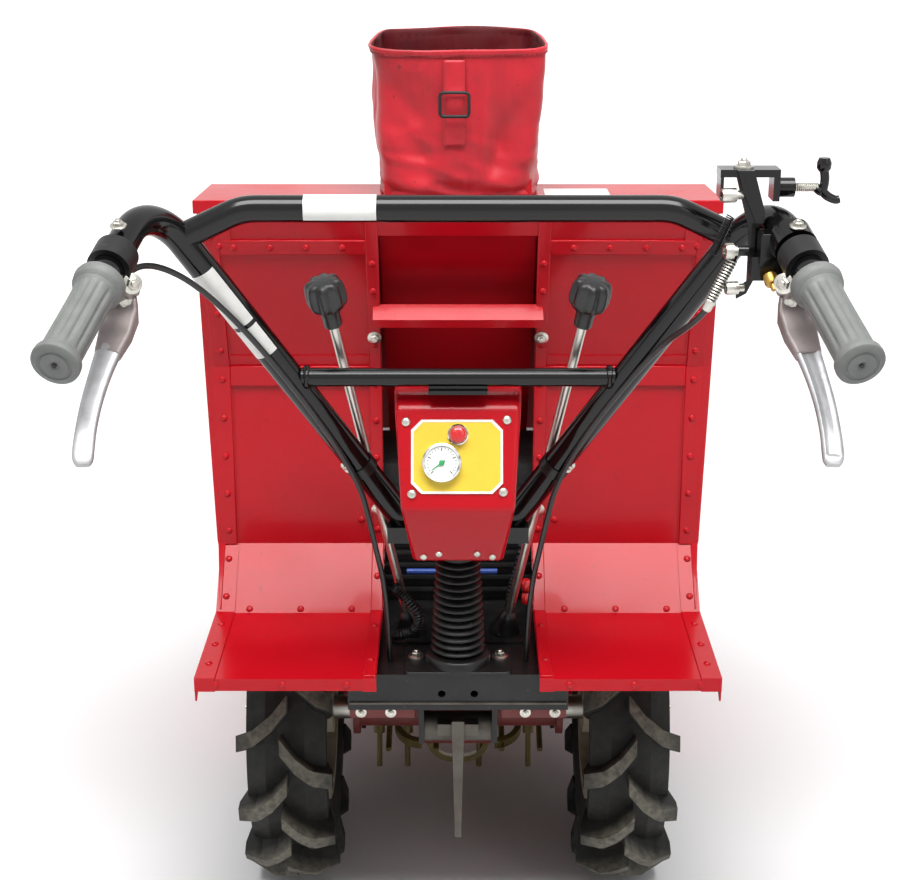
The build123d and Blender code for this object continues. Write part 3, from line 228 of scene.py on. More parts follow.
def tyre_material(name, colour, other, dust_and_lug_light):
    """Dull rubber, beige on the lug tips and darker further in: painted light on the lugs and painted shade
    between them, in patches of dust.
    """
    mat = surface(name, colour, other, 0.6, specular=0.25, patch=13.0, share=(0.52, 0.86), grain=420.0,
                  bump=0.35, depth=0.0006)
    tree = mat.node_tree
    shader = tree.nodes["Principled BSDF"]
    rubber = shader.inputs["Base Color"].links[0].from_socket
    place = found(tree, "TEX_COORD")
    from_axle = tree.nodes.new("ShaderNodeVectorMath")
    from_axle.operation = "MULTIPLY_ADD"
    from_axle.inputs[1].default_value = (0.0, 1.0, 1.0)
    from_axle.inputs[2].default_value = (0.0, 0.0, -AXLE_Z)
    tree.links.new(place.outputs["Object"], from_axle.inputs[0])
    radius = length_node(tree, from_axle.outputs["Vector"])
    spread = noise_node(tree, place, DUST_SCALE, detail=6.0)
    # painted light on the lug tips and painted shade further in, by distance from the axle
    outward = ranged(tree, radius, *LUG_LIGHT_RADII, LUG_LIGHT_ON_CARCASS, 1.0)
    patches = ranged(tree, spread.outputs["Fac"], *DUST_RANGE, DUST_LEAST, 1.0)
    cover = math_node(tree, "MULTIPLY", outward, patches)
    tree.links.new(mixed(tree, cover, rubber, linear(*dust_and_lug_light)), shader.inputs["Base Color"])
    return mat


MATERIALS = {
    "body_red": surface("red_paint", (178, 12, 26), (160, 10, 22), 0.2, coat=0.1, specular=0.16, patch=4.0,
                        rough_spread=0.06, speck=(132, 26, 28), grain=260.0, bump=0.05),
    "frame_black": surface("black_satin", (17, 17, 18), (38, 36, 34), 0.42, specular=0.35, patch=14.0,
                           share=(0.5, 0.9), speck=(60, 54, 48)),
    "tube_black": surface("black_gloss", (8, 8, 9), (20, 20, 21), 0.16, coat=0.1, specular=0.3, patch=7.0,
                          share=(0.55, 0.9), rough_spread=0.05, grain=300.0, bump=0.03),
    "axle_red": surface("axle_primer", (104, 34, 30), (66, 38, 30), 0.55, patch=24.0,
                        speck=(50, 32, 26)),
    "engine_cast": surface("engine_dark", (24, 24, 25), (40, 39, 37), 0.5, specular=0.3, patch=20.0,
                           speck=(62, 58, 52)),
    "rim_paint": surface("rim_cream", (158, 148, 128), (112, 84, 58), 0.5, patch=18.0,
                         share=(0.48, 0.78), speck=(96, 62, 38)),
    "reel_paint": surface("reel_olive", (138, 122, 70), (98, 78, 46), 0.5, metallic=0.2, patch=26.0,
                          speck=(150, 136, 92)),
    "bright_steel": surface("zinc_steel", (196, 194, 186), (164, 160, 150), 0.32, metallic=1.0,
                            patch=16.0, rough_spread=0.04, grain=900.0, bump=0.03),
    "stake_steel": surface("stake_iron", (84, 80, 74), (60, 50, 42), 0.45, metallic=0.7, patch=30.0,
                           speck=(104, 78, 56)),
    "lever_cast": surface("cast_aluminium", (178, 178, 180), (148, 148, 149), 0.5, metallic=0.9,
                          patch=40.0, grain=1200.0, bump=0.25),
    # tyre: its last colour is dust and painted light on the lug tips
    "tyre": tyre_material("tyre_rubber", (14, 14, 15), (28, 28, 28), (104, 101, 90)),
    "black_rubber": surface("bellows_rubber", (15, 15, 16), (34, 33, 31), 0.36, specular=0.35, patch=22.0,
                            share=(0.5, 0.9), speck=(70, 65, 58)),
    "grip_rubber": surface("grip_grey", (108, 110, 108), (88, 90, 88), 0.55, patch=26.0,
                           grain=1500.0, bump=0.3),
    "black_plastic": surface("plastic_black", (14, 14, 15), (26, 26, 27), 0.34, patch=30.0,
                             grain=1100.0),
    "button_red": surface("button_plastic", (196, 24, 30), (168, 18, 24), 0.25, coat=0.4, patch=40.0),
    "plate_yellow": surface("plate_print", (224, 192, 60), (214, 182, 54), 0.32, patch=30.0,
                            rough_spread=0.05, grain=500.0, bump=0.03),
    "gauge_chrome": surface("bezel_chrome", (214, 214, 212), (190, 190, 188), 0.16, metallic=1.0,
                            patch=60.0, rough_spread=0.05),
    "spout_cloth": cloth_material("spout_cloth", (184, 26, 40), (142, 18, 28)),
}
LABEL = surface("label_film", (226, 226, 222), (208, 207, 202), 0.35, patch=40.0, grain=500.0, bump=0.04)
DIAL = surface("dial_white", (236, 238, 234), (228, 230, 226), 0.4, patch=50.0, bump=0.02)
INK = surface("dial_ink", (36, 38, 40), (52, 54, 56), 0.5, patch=80.0, bump=0.02)
NEEDLE = surface("needle_green", (34, 150, 84), (28, 132, 72), 0.4, patch=80.0, bump=0.02)
BLUE = surface("rod_blue", (30, 66, 148), (26, 52, 118), 0.35, patch=40.0)
BRASS = surface("brass_screw", (186, 150, 76), (150, 112, 56), 0.35, metallic=0.9, patch=60.0)
THREAD = surface("thread", (120, 16, 24), (98, 12, 20), 0.7, patch=90.0)
LINING = surface("spout_lining", (86, 10, 17), (66, 16, 18), 0.6, specular=0.25, patch=18.0, bump=0.2)
PERCH_CAST = surface("perch_alloy", (148, 138, 136), (118, 110, 108), 0.52, metallic=0.5, patch=30.0)


def finish_cad_nodes():
    """Every node of the frame takes the material of its slot."""
    for subpart in frame["record"]["subparts"]:
        mesh = nodes[subpart["node"]].data
        mesh.materials.clear()
        mesh.materials.append(MATERIALS[subpart["material_slot"]])


# Mesh helpers

def basis(origin, axis, hint=(0.0, 0.0, 1.0)):
    """Matrix whose z runs along an axis and whose x points as near to a hint as it can."""
    z = Vector(axis).normalized()
    x = Vector(hint) - z * Vector(hint).dot(z)
    if x.length < 1e-6:
        x = z.orthogonal()
    x.normalize()
    matrix = Matrix((x, z.cross(x), z)).transposed().to_4x4()
    matrix.translation = Vector(origin)
    return matrix


def upright(origin):
    """Matrix at a point, with z up and x to the right."""
    return basis(origin, (0, 0, 1), (1, 0, 0))


def loft(bm, rings, closed=False, caps=True):
    """Skin over rings of equally many points."""
    rows = [[bm.verts.new(point) for point in ring] for ring in rings]
    pairs = list(zip(rows, rows[1:]))
    if closed:
        pairs.append((rows[-1], rows[0]))
    for low, high in pairs:
        for i in range(len(low)):
            j = (i + 1) % len(low)
            bm.faces.new((low[i], low[j], high[j], high[i]))
    if caps and not closed:
        bm.faces.new(rows[0][::-1])
        bm.faces.new(rows[-1])


def turned(bm, matrix, profile, sides=32, shape=None, caps=True):
    """Form turned about a matrix's z axis from (radius, height) points; shape scales it by angle and height."""
    rings = []
    for radius, height in profile:
        ring = []
        for k in range(sides):
            angle = 2 * math.pi * k / sides
            reach = radius * (shape(angle, height) if shape else 1.0)
            ring.append(matrix @ Vector((reach * math.cos(angle), reach * math.sin(angle), height)))
        rings.append(ring)
    loft(bm, rings, caps=caps)


def tube(bm, points, radius, sides=12, closed=False):
    """Round tube along points; radius is one number, or one for each point."""
    points = [Vector(p) for p in points]
    count = len(points)
    radii = radius if isinstance(radius, (list, tuple)) else [radius] * count
    rings = []
    normal = None
    for i, point in enumerate(points):
        ahead = points[(i + 1) % count] if closed or i < count - 1 else point
        behind = points[i - 1] if closed or i > 0 else point
        tangent = (ahead - behind).normalized()
        normal = tangent.orthogonal() if normal is None else normal - tangent * normal.dot(tangent)
        normal.normalize()
        side = tangent.cross(normal)
        ring = []
        for k in range(sides):
            angle = 2 * math.pi * k / sides
            ring.append(point + (normal * math.cos(angle) + side * math.sin(angle)) * radii[i])
        rings.append(ring)
    loft(bm, rings, closed=closed)


def plate(bm, matrix, outline, low, high):
    """Flat plate of an (x, y) outline between two heights of a matrix's frame."""
    loft(bm, [[matrix @ Vector((x, y, z)) for x, y in outline] for z in (low, high)])


def rounded(width, depth, corner, steps=5):
    """Outline of a rectangle with round corners."""
    points = []
    for quarter, (sx, sy) in enumerate(((1, 1), (-1, 1), (-1, -1), (1, -1))):
        for k in range(steps + 1):
            angle = math.pi / 2 * (quarter + k / steps)
            points.append((sx * (width / 2 - corner) + corner * math.cos(angle),
                           sy * (depth / 2 - corner) + corner * math.sin(angle)))
    return points


BOLT_HINT = (0.3, 0.2, 1.0)
WASHER = [(1.7, 0.0), (1.7, 0.25), (1.6, 0.32)]
BOLT_HEAD = [(1.1, 0.3), (1.1, 0.95), (0.9, 1.12)]
BOLT_END = [(0.55, 1.0), (0.55, 1.45), (0.45, 1.55)]
RIVET_DOME = [(1.0, -0.1), (1.0, 0.05), (0.86, 0.3), (0.55, 0.5), (0.2, 0.58)]
PAN_HEAD = [(1.0, -0.1), (1.0, 0.25), (0.85, 0.5), (0.5, 0.66)]
CROSS_BAR = [(-0.5, -0.1), (0.5, -0.1), (0.5, 0.1), (-0.5, 0.1)]
CROSS_HEIGHTS = (0.6, 0.72)
HEAD_R = 0.0042


def scaled(points, size):
    return [(size * r, size * h) for r, h in points]


def bolt(bm, point, normal, size=0.006):
    """Washer, hexagon head and the end of the thread."""
    matrix = basis(point, normal, BOLT_HINT)
    for profile, sides in ((WASHER, 22), (BOLT_HEAD, 6), (BOLT_END, 14)):
        turned(bm, matrix, scaled(profile, size), sides)


def rivet(bm, point, normal, radius=HEAD_R):
    """Low dome."""
    turned(bm, basis(point, normal), scaled(RIVET_DOME, radius), 12)


def screw(bm, point, normal, radius=HEAD_R):
    """Pan head with a raised cross."""
    matrix = basis(point, normal, (0.8, 0.0, 0.6))
    turned(bm, matrix, scaled(PAN_HEAD, radius), 18)
    low, high = (radius * height for height in CROSS_HEIGHTS)
    for turn in (0.0, math.pi / 2):
        plate(bm, matrix @ Matrix.Rotation(turn, 4, "Z"), scaled(CROSS_BAR, radius), low, high)


def helix(start, end, radius, turns, steps=14):
    """Points of a coil spring between two points."""
    start, end = Vector(start), Vector(end)
    matrix = basis(start, end - start)
    length = (end - start).length
    points = []
    for k in range(turns * steps + 1):
        angle = 2 * math.pi * k / steps
        points.append(matrix @ Vector((radius * math.cos(angle), radius * math.sin(angle),
                                       length * k / (turns * steps))))
    return points


def link(obj):
    bpy.context.scene.collection.objects.link(obj)


def piece(name, bm, slot, material=None, body="chassis", crease=38.0):
    """Mesh object in the row frame that rides on a body, in its slot's material unless another is given."""
    bmesh.ops.recalc_face_normals(bm, faces=bm.faces)
    mesh = bpy.data.meshes.new(name)
    bm.to_mesh(mesh)
    bm.free()
    mesh.shade_smooth()
    mesh.set_sharp_from_angle(angle=math.radians(crease))
    mesh.materials.append(material or MATERIALS[slot])
    obj = bpy.data.objects.new(name, mesh)
    link(obj)
    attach(obj, body)
    return obj


def soften(obj, width=0.001, segments=2):
    """Small round on a piece's hard edges."""
    bevel = obj.modifiers.new("edge", "BEVEL")
    bevel.width = width
    bevel.segments = segments
    bevel.limit_method = "ANGLE"
    bevel.angle_limit = math.radians(40)


def sided(vector, side):
    """A right-hand point or direction, mirrored for the left."""
    return Vector((vector[0] * side, vector[1], vector[2]))


def on_run(run, x, distance, lift=0.0):
    """Point on the body's rear or front sheet and its outward normal."""
    (y0, z0), (y1, z1) = RUNS[run]
    length = math.hypot(y1 - y0, z1 - z0)
    dy, dz = (y1 - y0) / length, (z1 - z0) / length
    normal = Vector((0, -dz, dy))
    return Vector((x, y0 + dy * distance, z0 + dz * distance)) + normal * lift, normal


def run_length(run):
    (y0, z0), (y1, z1) = RUNS[run]
    return math.hypot(y1 - y0, z1 - z0)


def face_matrix():
    """Frame of the control box's sloping face: x right, y up the face, z out of it."""
    normal = Vector((1, 0, 0)).cross(FACE_HIGH - FACE_LOW)
    return basis((FACE_LOW + FACE_HIGH) / 2, normal, (1, 0, 0))


SIDES = (("left", -1), ("right", 1))


# Fabric spout: half widths along x and y, and heights, at the collar and at the rim

SPOUT_POINTS = 168
SPOUT_ROWS = 48
SPOUT_LOW_HALF = (0.0812, 0.0665)
SPOUT_TOP_HALF = (0.0975, 0.0865)
SPOUT_Y = -0.043
SPOUT_LOW_Z = 0.8745
SPOUT_TOP_Z = 1.0565
SPOUT_TILT = 0.007
SPOUT_FAR_TAPER = 0.13
SPOUT_LOW_POWER = 11.0    # squareness of the outline at the collar, and what it loses up to the rim
SPOUT_POWER_LOSS = 3.0
RIM_SAG = 0.004
RIM_WAVE = 0.0016
CLOTH_T = 0.0012


def outward_at(point):
    """Level direction from the spout's axis to a point."""
    return Vector((point.x, point.y - SPOUT_Y, 0)).normalized()


def rim_height(x, y):
    """Height of the spout's rim: lower on the near side, where the hem sags too."""
    near = min(1.0, max(0.0, (SPOUT_Y + SPOUT_TOP_HALF[1] - y) / (2 * SPOUT_TOP_HALF[1])))
    sag = RIM_SAG * near ** 3 * max(0.0, 1 - (x / SPOUT_TOP_HALF[0]) ** 2)
    return SPOUT_TOP_Z - SPOUT_TILT * near - sag + RIM_WAVE * math.sin(38 * x + 1.0) * math.sin(29 * y)


# Folds on the spout's rear and front side: upper and lower end as (x, z), depth and half width
FOLDS = [
    ((-0.088, 1.022), (-0.030, 0.955), 0.0068, 0.012),
    ((-0.080, 0.985), (-0.022, 0.905), 0.0056, 0.011),
    ((0.086, 1.010), (0.040, 0.930), 0.0068, 0.012),
    ((0.078, 0.965), (0.018, 0.892), 0.0060, 0.011),
    ((-0.060, 0.915), (0.010, 0.892), 0.0046, 0.008),
    ((0.040, 0.985), (0.070, 0.905), 0.0050, 0.009),
]
WAVE_DEPTH = 0.0060
RIDGE_DEPTH = 0.0050
BUCKLE_DEPTH = 0.0044
BUCKLE_REACH = (0.1, 0.6)    # shares of the height where the buckles are full and where they end


def fold_depth(x, z):
    """Depth of the folds at a spot on the rear or front side."""
    spot = Vector((x, z))
    depth = 0.0
    for high, low, deep, width in FOLDS:
        start, along = Vector(high), Vector(low) - Vector(high)
        share = min(1.0, max(0.0, (spot - start).dot(along) / along.length_squared))
        gap = (spot - start - along * share).length / width
        depth += deep * math.exp(-gap * gap) * (0.4 + 0.6 * math.sin(math.pi * share))
    return depth


def ridged(x, y, z):
    """Noise with sharp ridges."""
    return 0.5 - 2.4 * abs(noise.noise(Vector((x, y, z))))


def crease(point, share):
    """Outward shift of the cloth: long folds down from the rim, and short buckles over the collar."""
    x, y, z = point
    wave = noise.noise(Vector((30 * x + 9, 30 * y, 8 * z)))
    ridge = ridged(17 * x + 6 * z, 17 * y + 5, 12 * z - 5 * x)
    buckle = ridged(15 * x, 15 * y + 7, 62 * z + 9 * x)
    share = min(1.0, max(0.0, share))
    free = abs(math.sin(math.pi * share)) ** 0.5
    low = max(0.0, 1 - share / BUCKLE_REACH[1]) * min(1.0, share / BUCKLE_REACH[0])
    return free * (WAVE_DEPTH * wave + RIDGE_DEPTH * ridge - fold_depth(x, z)) + BUCKLE_DEPTH * low * buckle


def spout_ring(share):
    """Rounded rectangle of the spout at a share of its height."""
    half = [low + (high - low) * share for low, high in zip(SPOUT_LOW_HALF, SPOUT_TOP_HALF)]
    power = SPOUT_LOW_POWER - SPOUT_POWER_LOSS * share
    ring = []
    for k in range(SPOUT_POINTS):
        angle = 2 * math.pi * k / SPOUT_POINTS
        c, s = math.cos(angle), math.sin(angle)
        reach = (abs(c) ** power + abs(s) ** power) ** (-1 / power)
        far = SPOUT_FAR_TAPER * share * (0.5 + 0.5 * reach * s)
        x, y = half[0] * reach * c * (1 - far), SPOUT_Y + half[1] * reach * s
        ring.append(Vector((x, y, SPOUT_LOW_Z + (rim_height(x, y) - SPOUT_LOW_Z) * share)))
    return ring


HELD_ROWS = 4         # rows held at the collar, and as many at the hem
HEM_HOLD = 0.92
DRAPE_STEPS = 21
DRAPE_LIMIT = 0.011


def drape(obj):
    """Lets the cloth buckle between its hem and the collar, and keeps the result."""
    group = obj.vertex_groups.new(name="held")
    for row in range(SPOUT_ROWS):
        if HELD_ROWS <= row < SPOUT_ROWS - HELD_ROWS:
            continue
        hold = 1.0 if row < HELD_ROWS else HEM_HOLD
        group.add(list(range(row * SPOUT_POINTS, (row + 1) * SPOUT_POINTS)), hold, "REPLACE")
    cloth = obj.modifiers.new("cloth", "CLOTH")
    settings = cloth.settings
    settings.quality = 6
    settings.mass = 0.25
    settings.tension_stiffness = 18.0
    settings.compression_stiffness = 18.0
    settings.bending_stiffness = 0.4
    settings.shrink_min = -0.03
    settings.vertex_group_mass = "held"
    settings.effector_weights.gravity = 0.7
    scene = bpy.context.scene
    for step in range(1, DRAPE_STEPS + 1):
        scene.frame_set(step)
    evaluated = obj.evaluated_get(bpy.context.evaluated_depsgraph_get())
    moved = [v.co.copy() for v in evaluated.data.vertices]
    scene.frame_set(1)
    obj.modifiers.remove(cloth)
    for vertex, place in zip(obj.data.vertices, moved):
        shift = place - vertex.co
        if shift.length > DRAPE_LIMIT:
            shift *= DRAPE_LIMIT / shift.length
        vertex.co += shift


def make_spout():
    bm = bmesh.new()
    loft(bm, [spout_ring(row / (SPOUT_ROWS - 1)) for row in range(SPOUT_ROWS)], caps=False)
    cloth = piece("spout_cloth", bm, "spout_cloth", crease=80.0)
    first = cloth.data.polygons[0]
    if first.normal.dot(outward_at(first.center)) < 0:
        cloth.data.flip_normals()
    drape(cloth)
    for vertex in cloth.data.vertices:
        share = (vertex.co.z - SPOUT_LOW_Z) / (rim_height(vertex.co.x, vertex.co.y) - SPOUT_LOW_Z)
        vertex.co += outward_at(vertex.co) * crease(vertex.co, share)
    smooth = cloth.modifiers.new("smooth", "SUBSURF")
    smooth.levels = smooth.render_levels = 1
    skin = cloth.modifiers.new("skin", "SOLIDIFY")
    skin.thickness = CLOTH_T
    skin.offset = -1.0
    cloth.data.materials.append(LINING)
    skin.material_offset = 1
    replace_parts(cloth, "fabric_spout")
    return cloth


# Hem: share of the height of its rows, and lift from the cloth, outside and then inside
HEM_ROWS = 2
HEM_PROFILE = [
    (0.0, 0.0012), (0.35, 0.0019), (0.8, 0.0022), (1.0, 0.0016), (1.06, 0.0), (1.0, -0.0016), (0.8, -0.0022),
    (0.35, -0.0018), (0.0, -0.0014),
]
STITCH_ROWS = (0.12, 0.3)
STITCH_SHARE = 0.55
STITCH_LIFT = 0.0019
STITCH_R = 0.0003


def spout_row(cloth, row):
    start = row * SPOUT_POINTS
    return [cloth.data.vertices[start + k].co.copy() for k in range(SPOUT_POINTS)]


def spout_hem(cloth):
    """Folded hem round the rim, with its two rows of stitches."""
    rim = spout_row(cloth, SPOUT_ROWS - 1)
    low = spout_row(cloth, SPOUT_ROWS - 1 - HEM_ROWS)
    rings = []
    for share, lift in HEM_PROFILE:
        rings.append([bottom.lerp(top, share) + outward_at(top) * lift for bottom, top in zip(low, rim)])
    bm = bmesh.new()
    loft(bm, rings, closed=True)
    stitches = bmesh.new()
    for share in STITCH_ROWS:
        for k in range(SPOUT_POINTS):
            after = (k + 1) % SPOUT_POINTS
            ends = []
            for part in (0.0, STITCH_SHARE):
                top = rim[k].lerp(rim[after], part)
                ends.append(low[k].lerp(low[after], part).lerp(top, share) + outward_at(top) * STITCH_LIFT)
            tube(stitches, ends, STITCH_R, 5)
    hem = piece("spout_hem", bm, "spout_cloth", crease=70.0)
    hem.data.materials.append(LINING)
    for face in hem.data.polygons:
        face.material_index = 1 if face.normal.dot(outward_at(face.center)) < -0.5 else 0
    thread = piece("spout_stitches", stitches, "spout_cloth", THREAD)
    return [hem, thread]


STRAP_X = -0.004
STRAP_COLUMNS = [-0.0115, -0.007, -0.0023, 0.0023, 0.007, 0.0115]
STRAP_LOW_Z = 0.945
STRAP_HIGH_Z = 1.036
STRAP_STEPS = 30
STRAP_LIFT = 0.0036
STRAP_T = 0.002
STRAP_HUMP = 0.0042      # where the strap runs over its ring
STRAP_HUMP_Z = 0.992
STRAP_HUMP_HALF = 0.012
SLIDE_RING = (0.031, 0.025, 0.004)    # width, height and corner
SLIDE_RING_R = 0.0018
SLIDE_RING_SHIFT = Vector((0.0025, -0.0035, 0))


def spout_strap(cloth):
    """Webbing strap on the rear side, through a flat ring."""
    tree = BVHTree.FromObject(cloth, bpy.context.evaluated_depsgraph_get())
    rows = []
    for i in range(STRAP_STEPS + 1):
        z = STRAP_LOW_Z + (STRAP_HIGH_Z - STRAP_LOW_Z) * i / STRAP_STEPS
        hump = STRAP_HUMP * math.exp(-((z - STRAP_HUMP_Z) / STRAP_HUMP_HALF) ** 2)
        row = []
        for column in STRAP_COLUMNS:
            x = column + STRAP_X
            hit = tree.ray_cast(Vector((x, -0.4, z)), Vector((0, 1, 0)))[0]
            row.append(Vector((x, hit.y - STRAP_LIFT - hump, z)))
        rows.append(row)
    bm = bmesh.new()
    grid = [[bm.verts.new(p) for p in row] for row in rows]
    for low, high in zip(grid, grid[1:]):
        for a, b, c, d in zip(low, low[1:], high[1:], high):
            bm.faces.new((a, b, c, d))
    strap = piece("spout_strap", bm, "spout_cloth", crease=70.0)
    thick = strap.modifiers.new("thick", "SOLIDIFY")
    thick.thickness = STRAP_T
    ring_bm = bmesh.new()
    middle = rows[STRAP_STEPS // 2][2]
    matrix = basis(middle + SLIDE_RING_SHIFT, (0, -1, 0.05), (1, 0, 0))
    tube(ring_bm, [matrix @ Vector((x, y, 0)) for x, y in rounded(*SLIDE_RING)], SLIDE_RING_R, 10, closed=True)
    ring = piece("spout_ring", ring_bm, "frame_black")
    return [strap, ring]


def dress_spout():
    cloth = make_spout()
    parts = spout_hem(cloth) + spout_strap(cloth)


# Sheet-metal body

def spaced(first, last, count):
    return [first + (last - first) * k / (count - 1) for k in range(count)]


LEAN = run_length("lean")
EDGE_X = BODY_X - 0.011
CHEEK_X = CHANNEL_X - 0.0075
LID_LOW_Z = 0.8715
LID_TOP_Z = 0.8865

# Strips that frame the panels: heights of their two sides over the sheet, and half widths of their edges
STRIP_LIFT = 0.0005
STRIP_T = 0.0045
STRIP_INNER_X = (0.0885, 0.1025)
STRIP_OUTER_X = (0.2635, BODY_X)
STRIP_TOP = (LEAN - 0.049, LEAN - 0.031)
STRIP_KNEE_START = 0.197

# Rivets: run, half widths, distances along the run, and lift from the sheet
RIVETS = [
    ("wall", [EDGE_X], spaced(0.018, 0.205, 5), STRIP_T),
    ("lean", [EDGE_X], spaced(0.022, 0.168, 4), STRIP_T),
    ("slope", [EDGE_X], [0.02, 0.068], SHEET),
    ("shelf", [EDGE_X], [0.035, 0.085, 0.14], SHEET),
    ("wall", [CHEEK_X], spaced(0.02, 0.2, 5), STRIP_T),
    ("lean", [CHEEK_X], [0.03, 0.1, 0.135], STRIP_T),
    ("slope", [CHEEK_X], [0.045], STRIP_T),
    ("shelf", [CHEEK_X], [0.04, 0.13], STRIP_T),
    ("lean", [0.128, 0.168, 0.208, 0.248], [LEAN - 0.04], STRIP_T),
    ("wall", [0.115], spaced(0.03, 0.2, 5), 0.0),
    ("slope", [0.125, 0.185, 0.245], [0.005], 0.0),
    ("lip", [0.12, 0.19, 0.262], [0.007], 0.0),
    ("hood", [EDGE_X], spaced(0.03, run_length("hood") - 0.03, 9), SHEET),
    ("nose", [EDGE_X], spaced(0.03, run_length("nose") - 0.02, 6), SHEET),
    ("cap", [EDGE_X], [0.025, 0.08], SHEET),
]
# Bolts beside the channel: run, distance and size
CHEEK_BOLTS = [("lean", 0.040, 0.0046), ("wall", 0.045, 0.0042)]
# Bracket over the upper corner: run, distance and lift of its side view, and its rivets
CORNER = [
    ("lean", LEAN - 0.05, SHEET), ("lean", LEAN + 0.002, SHEET), ("cap", 0.03, SHEET), ("cap", 0.03, 2 * SHEET),
    ("lean", LEAN + 0.003, 2 * SHEET), ("lean", LEAN - 0.05, 2 * SHEET),
]
CORNER_X = (BODY_X - 0.034, BODY_X + 0.001)
CORNER_RIVETS = (LEAN - 0.012, LEAN - 0.038)
CORNER_RIVET_X = BODY_X - 0.02
LIP_TAB = [(-0.310, 0.387), (-0.290, 0.387), (-0.310, 0.374)]
CAP_LABEL_AT = (0.132, -0.090, LID_TOP_Z)
CAP_LABEL = (0.072, 0.064, 0.003)
CAP_LABEL_T = 0.0006


def slab(bm, side, xs, outline):
    """Solid of a (y, z) outline between two half widths on one side."""
    loft(bm, [[Vector((side * x, y, z)) for y, z in outline] for x in xs])


def strip(bm, run, xs, start, end):
    """Flat strip on the body's sheet between two distances along a run."""
    rings = []
    for distance in (start, end):
        corners = ((xs[0], STRIP_LIFT), (xs[1], STRIP_LIFT), (xs[1], STRIP_T), (xs[0], STRIP_T))
        rings.append([on_run(run, x, distance, lift)[0] for x, lift in corners])
    loft(bm, rings)


def dress_frames():
    """Strips that frame the rear panels."""
    for name, side in SIDES:
        inner = [side * x for x in STRIP_INNER_X]
        outer = [side * x for x in STRIP_OUTER_X]
        between = (inner[1], outer[0])
        bm = bmesh.new()
        for run in ("shelf", "slope", "wall", "lean"):
            strip(bm, run, inner, 0.0, run_length(run))
        for run in ("wall", "lean"):
            strip(bm, run, outer, 0.0, run_length(run))
        strip(bm, "lean", between, *STRIP_TOP)
        strip(bm, "wall", between, STRIP_KNEE_START, run_length("wall"))
        soften(piece("panel_frame_" + name, bm, "body_red"), 0.0011)


def dress_body():
    """Rivets, bolts, corner brackets, lip tabs and label."""
    bm = bmesh.new()
    for run, xs, distances, lift in RIVETS:
        for x in xs:
            for distance in distances:
                for side in (-1, 1):
                    rivet(bm, *on_run(run, side * x, distance, lift))
    piece("body_rivets", bm, "body_red")
    corner_view = [on_run(run, 0, distance, lift)[0] for run, distance, lift in CORNER]
    bolts = bmesh.new()
    tabs = bmesh.new()
    for name, side in SIDES:
        corner = bmesh.new()
        slab(corner, side, CORNER_X, [(spot.y, spot.z) for spot in corner_view])
        for distance in CORNER_RIVETS:
            rivet(corner, *on_run("lean", side * CORNER_RIVET_X, distance, 2 * SHEET))
        soften(piece("corner_bracket_" + name, corner, "body_red"), 0.0008)
        for run, distance, size in CHEEK_BOLTS:
            bolt(bolts, *on_run(run, side * CHEEK_X, distance, STRIP_T), size=size)
        slab(tabs, side, (BODY_X - SHEET, BODY_X), LIP_TAB)
    piece("cheek_bolts", bolts, "bright_steel")
    piece("lip_tabs", tabs, "body_red")
    label = bmesh.new()
    plate(label, upright(CAP_LABEL_AT), rounded(*CAP_LABEL), 0.0, CAP_LABEL_T)
    piece("cap_label", label, "plate_yellow", LABEL)


# Lid on the cap as (x, y), and the plate at its outer corner as (y, z)
LID = [(0.0835, -0.131), (0.2895, -0.131), (0.2840, -0.022), (0.0835, -0.022)]
LID_CORNER = [(-0.130, 0.872), (-0.098, 0.872), (-0.098, 0.838), (-0.118, 0.838)]
LID_CORNER_X = (BODY_X - 0.001, BODY_X + 0.0015)
# Strip along the body's outer edge: run, distance and half width of its outer side
EDGE_STRIP = [
    ("slope", 0.004, 0.2795), ("slope", 0.086, 0.2865), ("wall", 0.004, 0.2875), ("wall", 0.217, 0.2930),
    ("lean", 0.004, 0.2930), ("lean", 0.192, 0.2890),
]
EDGE_STRIP_INNER_X = BODY_X - 0.006


def dress_shoulders():
    """Folded lid on each half of the cap, and the strip along the body's outer edge."""
    for name, side in SIDES:
        lid = bmesh.new()
        loft(lid, [[Vector((side * x, y, z)) for x, y in LID] for z in (LID_LOW_Z, LID_TOP_Z)])
        slab(lid, side, LID_CORNER_X, LID_CORNER)
        soften(piece("cap_lid_" + name, lid, "body_red"), 0.0012, 3)
        rings = []
        for run, distance, outer in EDGE_STRIP:
            ring = []
            for x, lift in ((EDGE_STRIP_INNER_X, 0.0), (outer, 0.0), (outer, 2 * SHEET),
                            (EDGE_STRIP_INNER_X, 2 * SHEET)):
                ring.append(on_run(run, side * x, distance, lift)[0])
            rings.append(ring)
        edge = bmesh.new()
        loft(edge, rings)
        soften(piece("edge_strip_" + name, edge, "body_red"), 0.0007)


# Handlebar

def wrap(bm, start, end, radius, facing, spread=1.25, lift=0.0004):
    """Film wrapped part of the way round a tube, on the side it faces."""
    start, end = Vector(start), Vector(end)
    matrix = basis(start, end - start, facing)
    length = (end - start).length
    steps = 14
    outer, inner = [], []
    for k in range(steps + 1):
        angle = -spread + 2 * spread * k / steps
        for ring, reach in ((outer, radius + lift), (inner, radius + 0.0001)):
            ring.append((reach * math.cos(angle), reach * math.sin(angle)))
    plate(bm, matrix, outer + inner[::-1], 0.0, length)


def tube_at(z):
    """Point on the straight part of the right-hand tube at a height."""
    return BEND + TUBE_AXIS * ((z - BEND.z) / TUBE_AXIS.z)


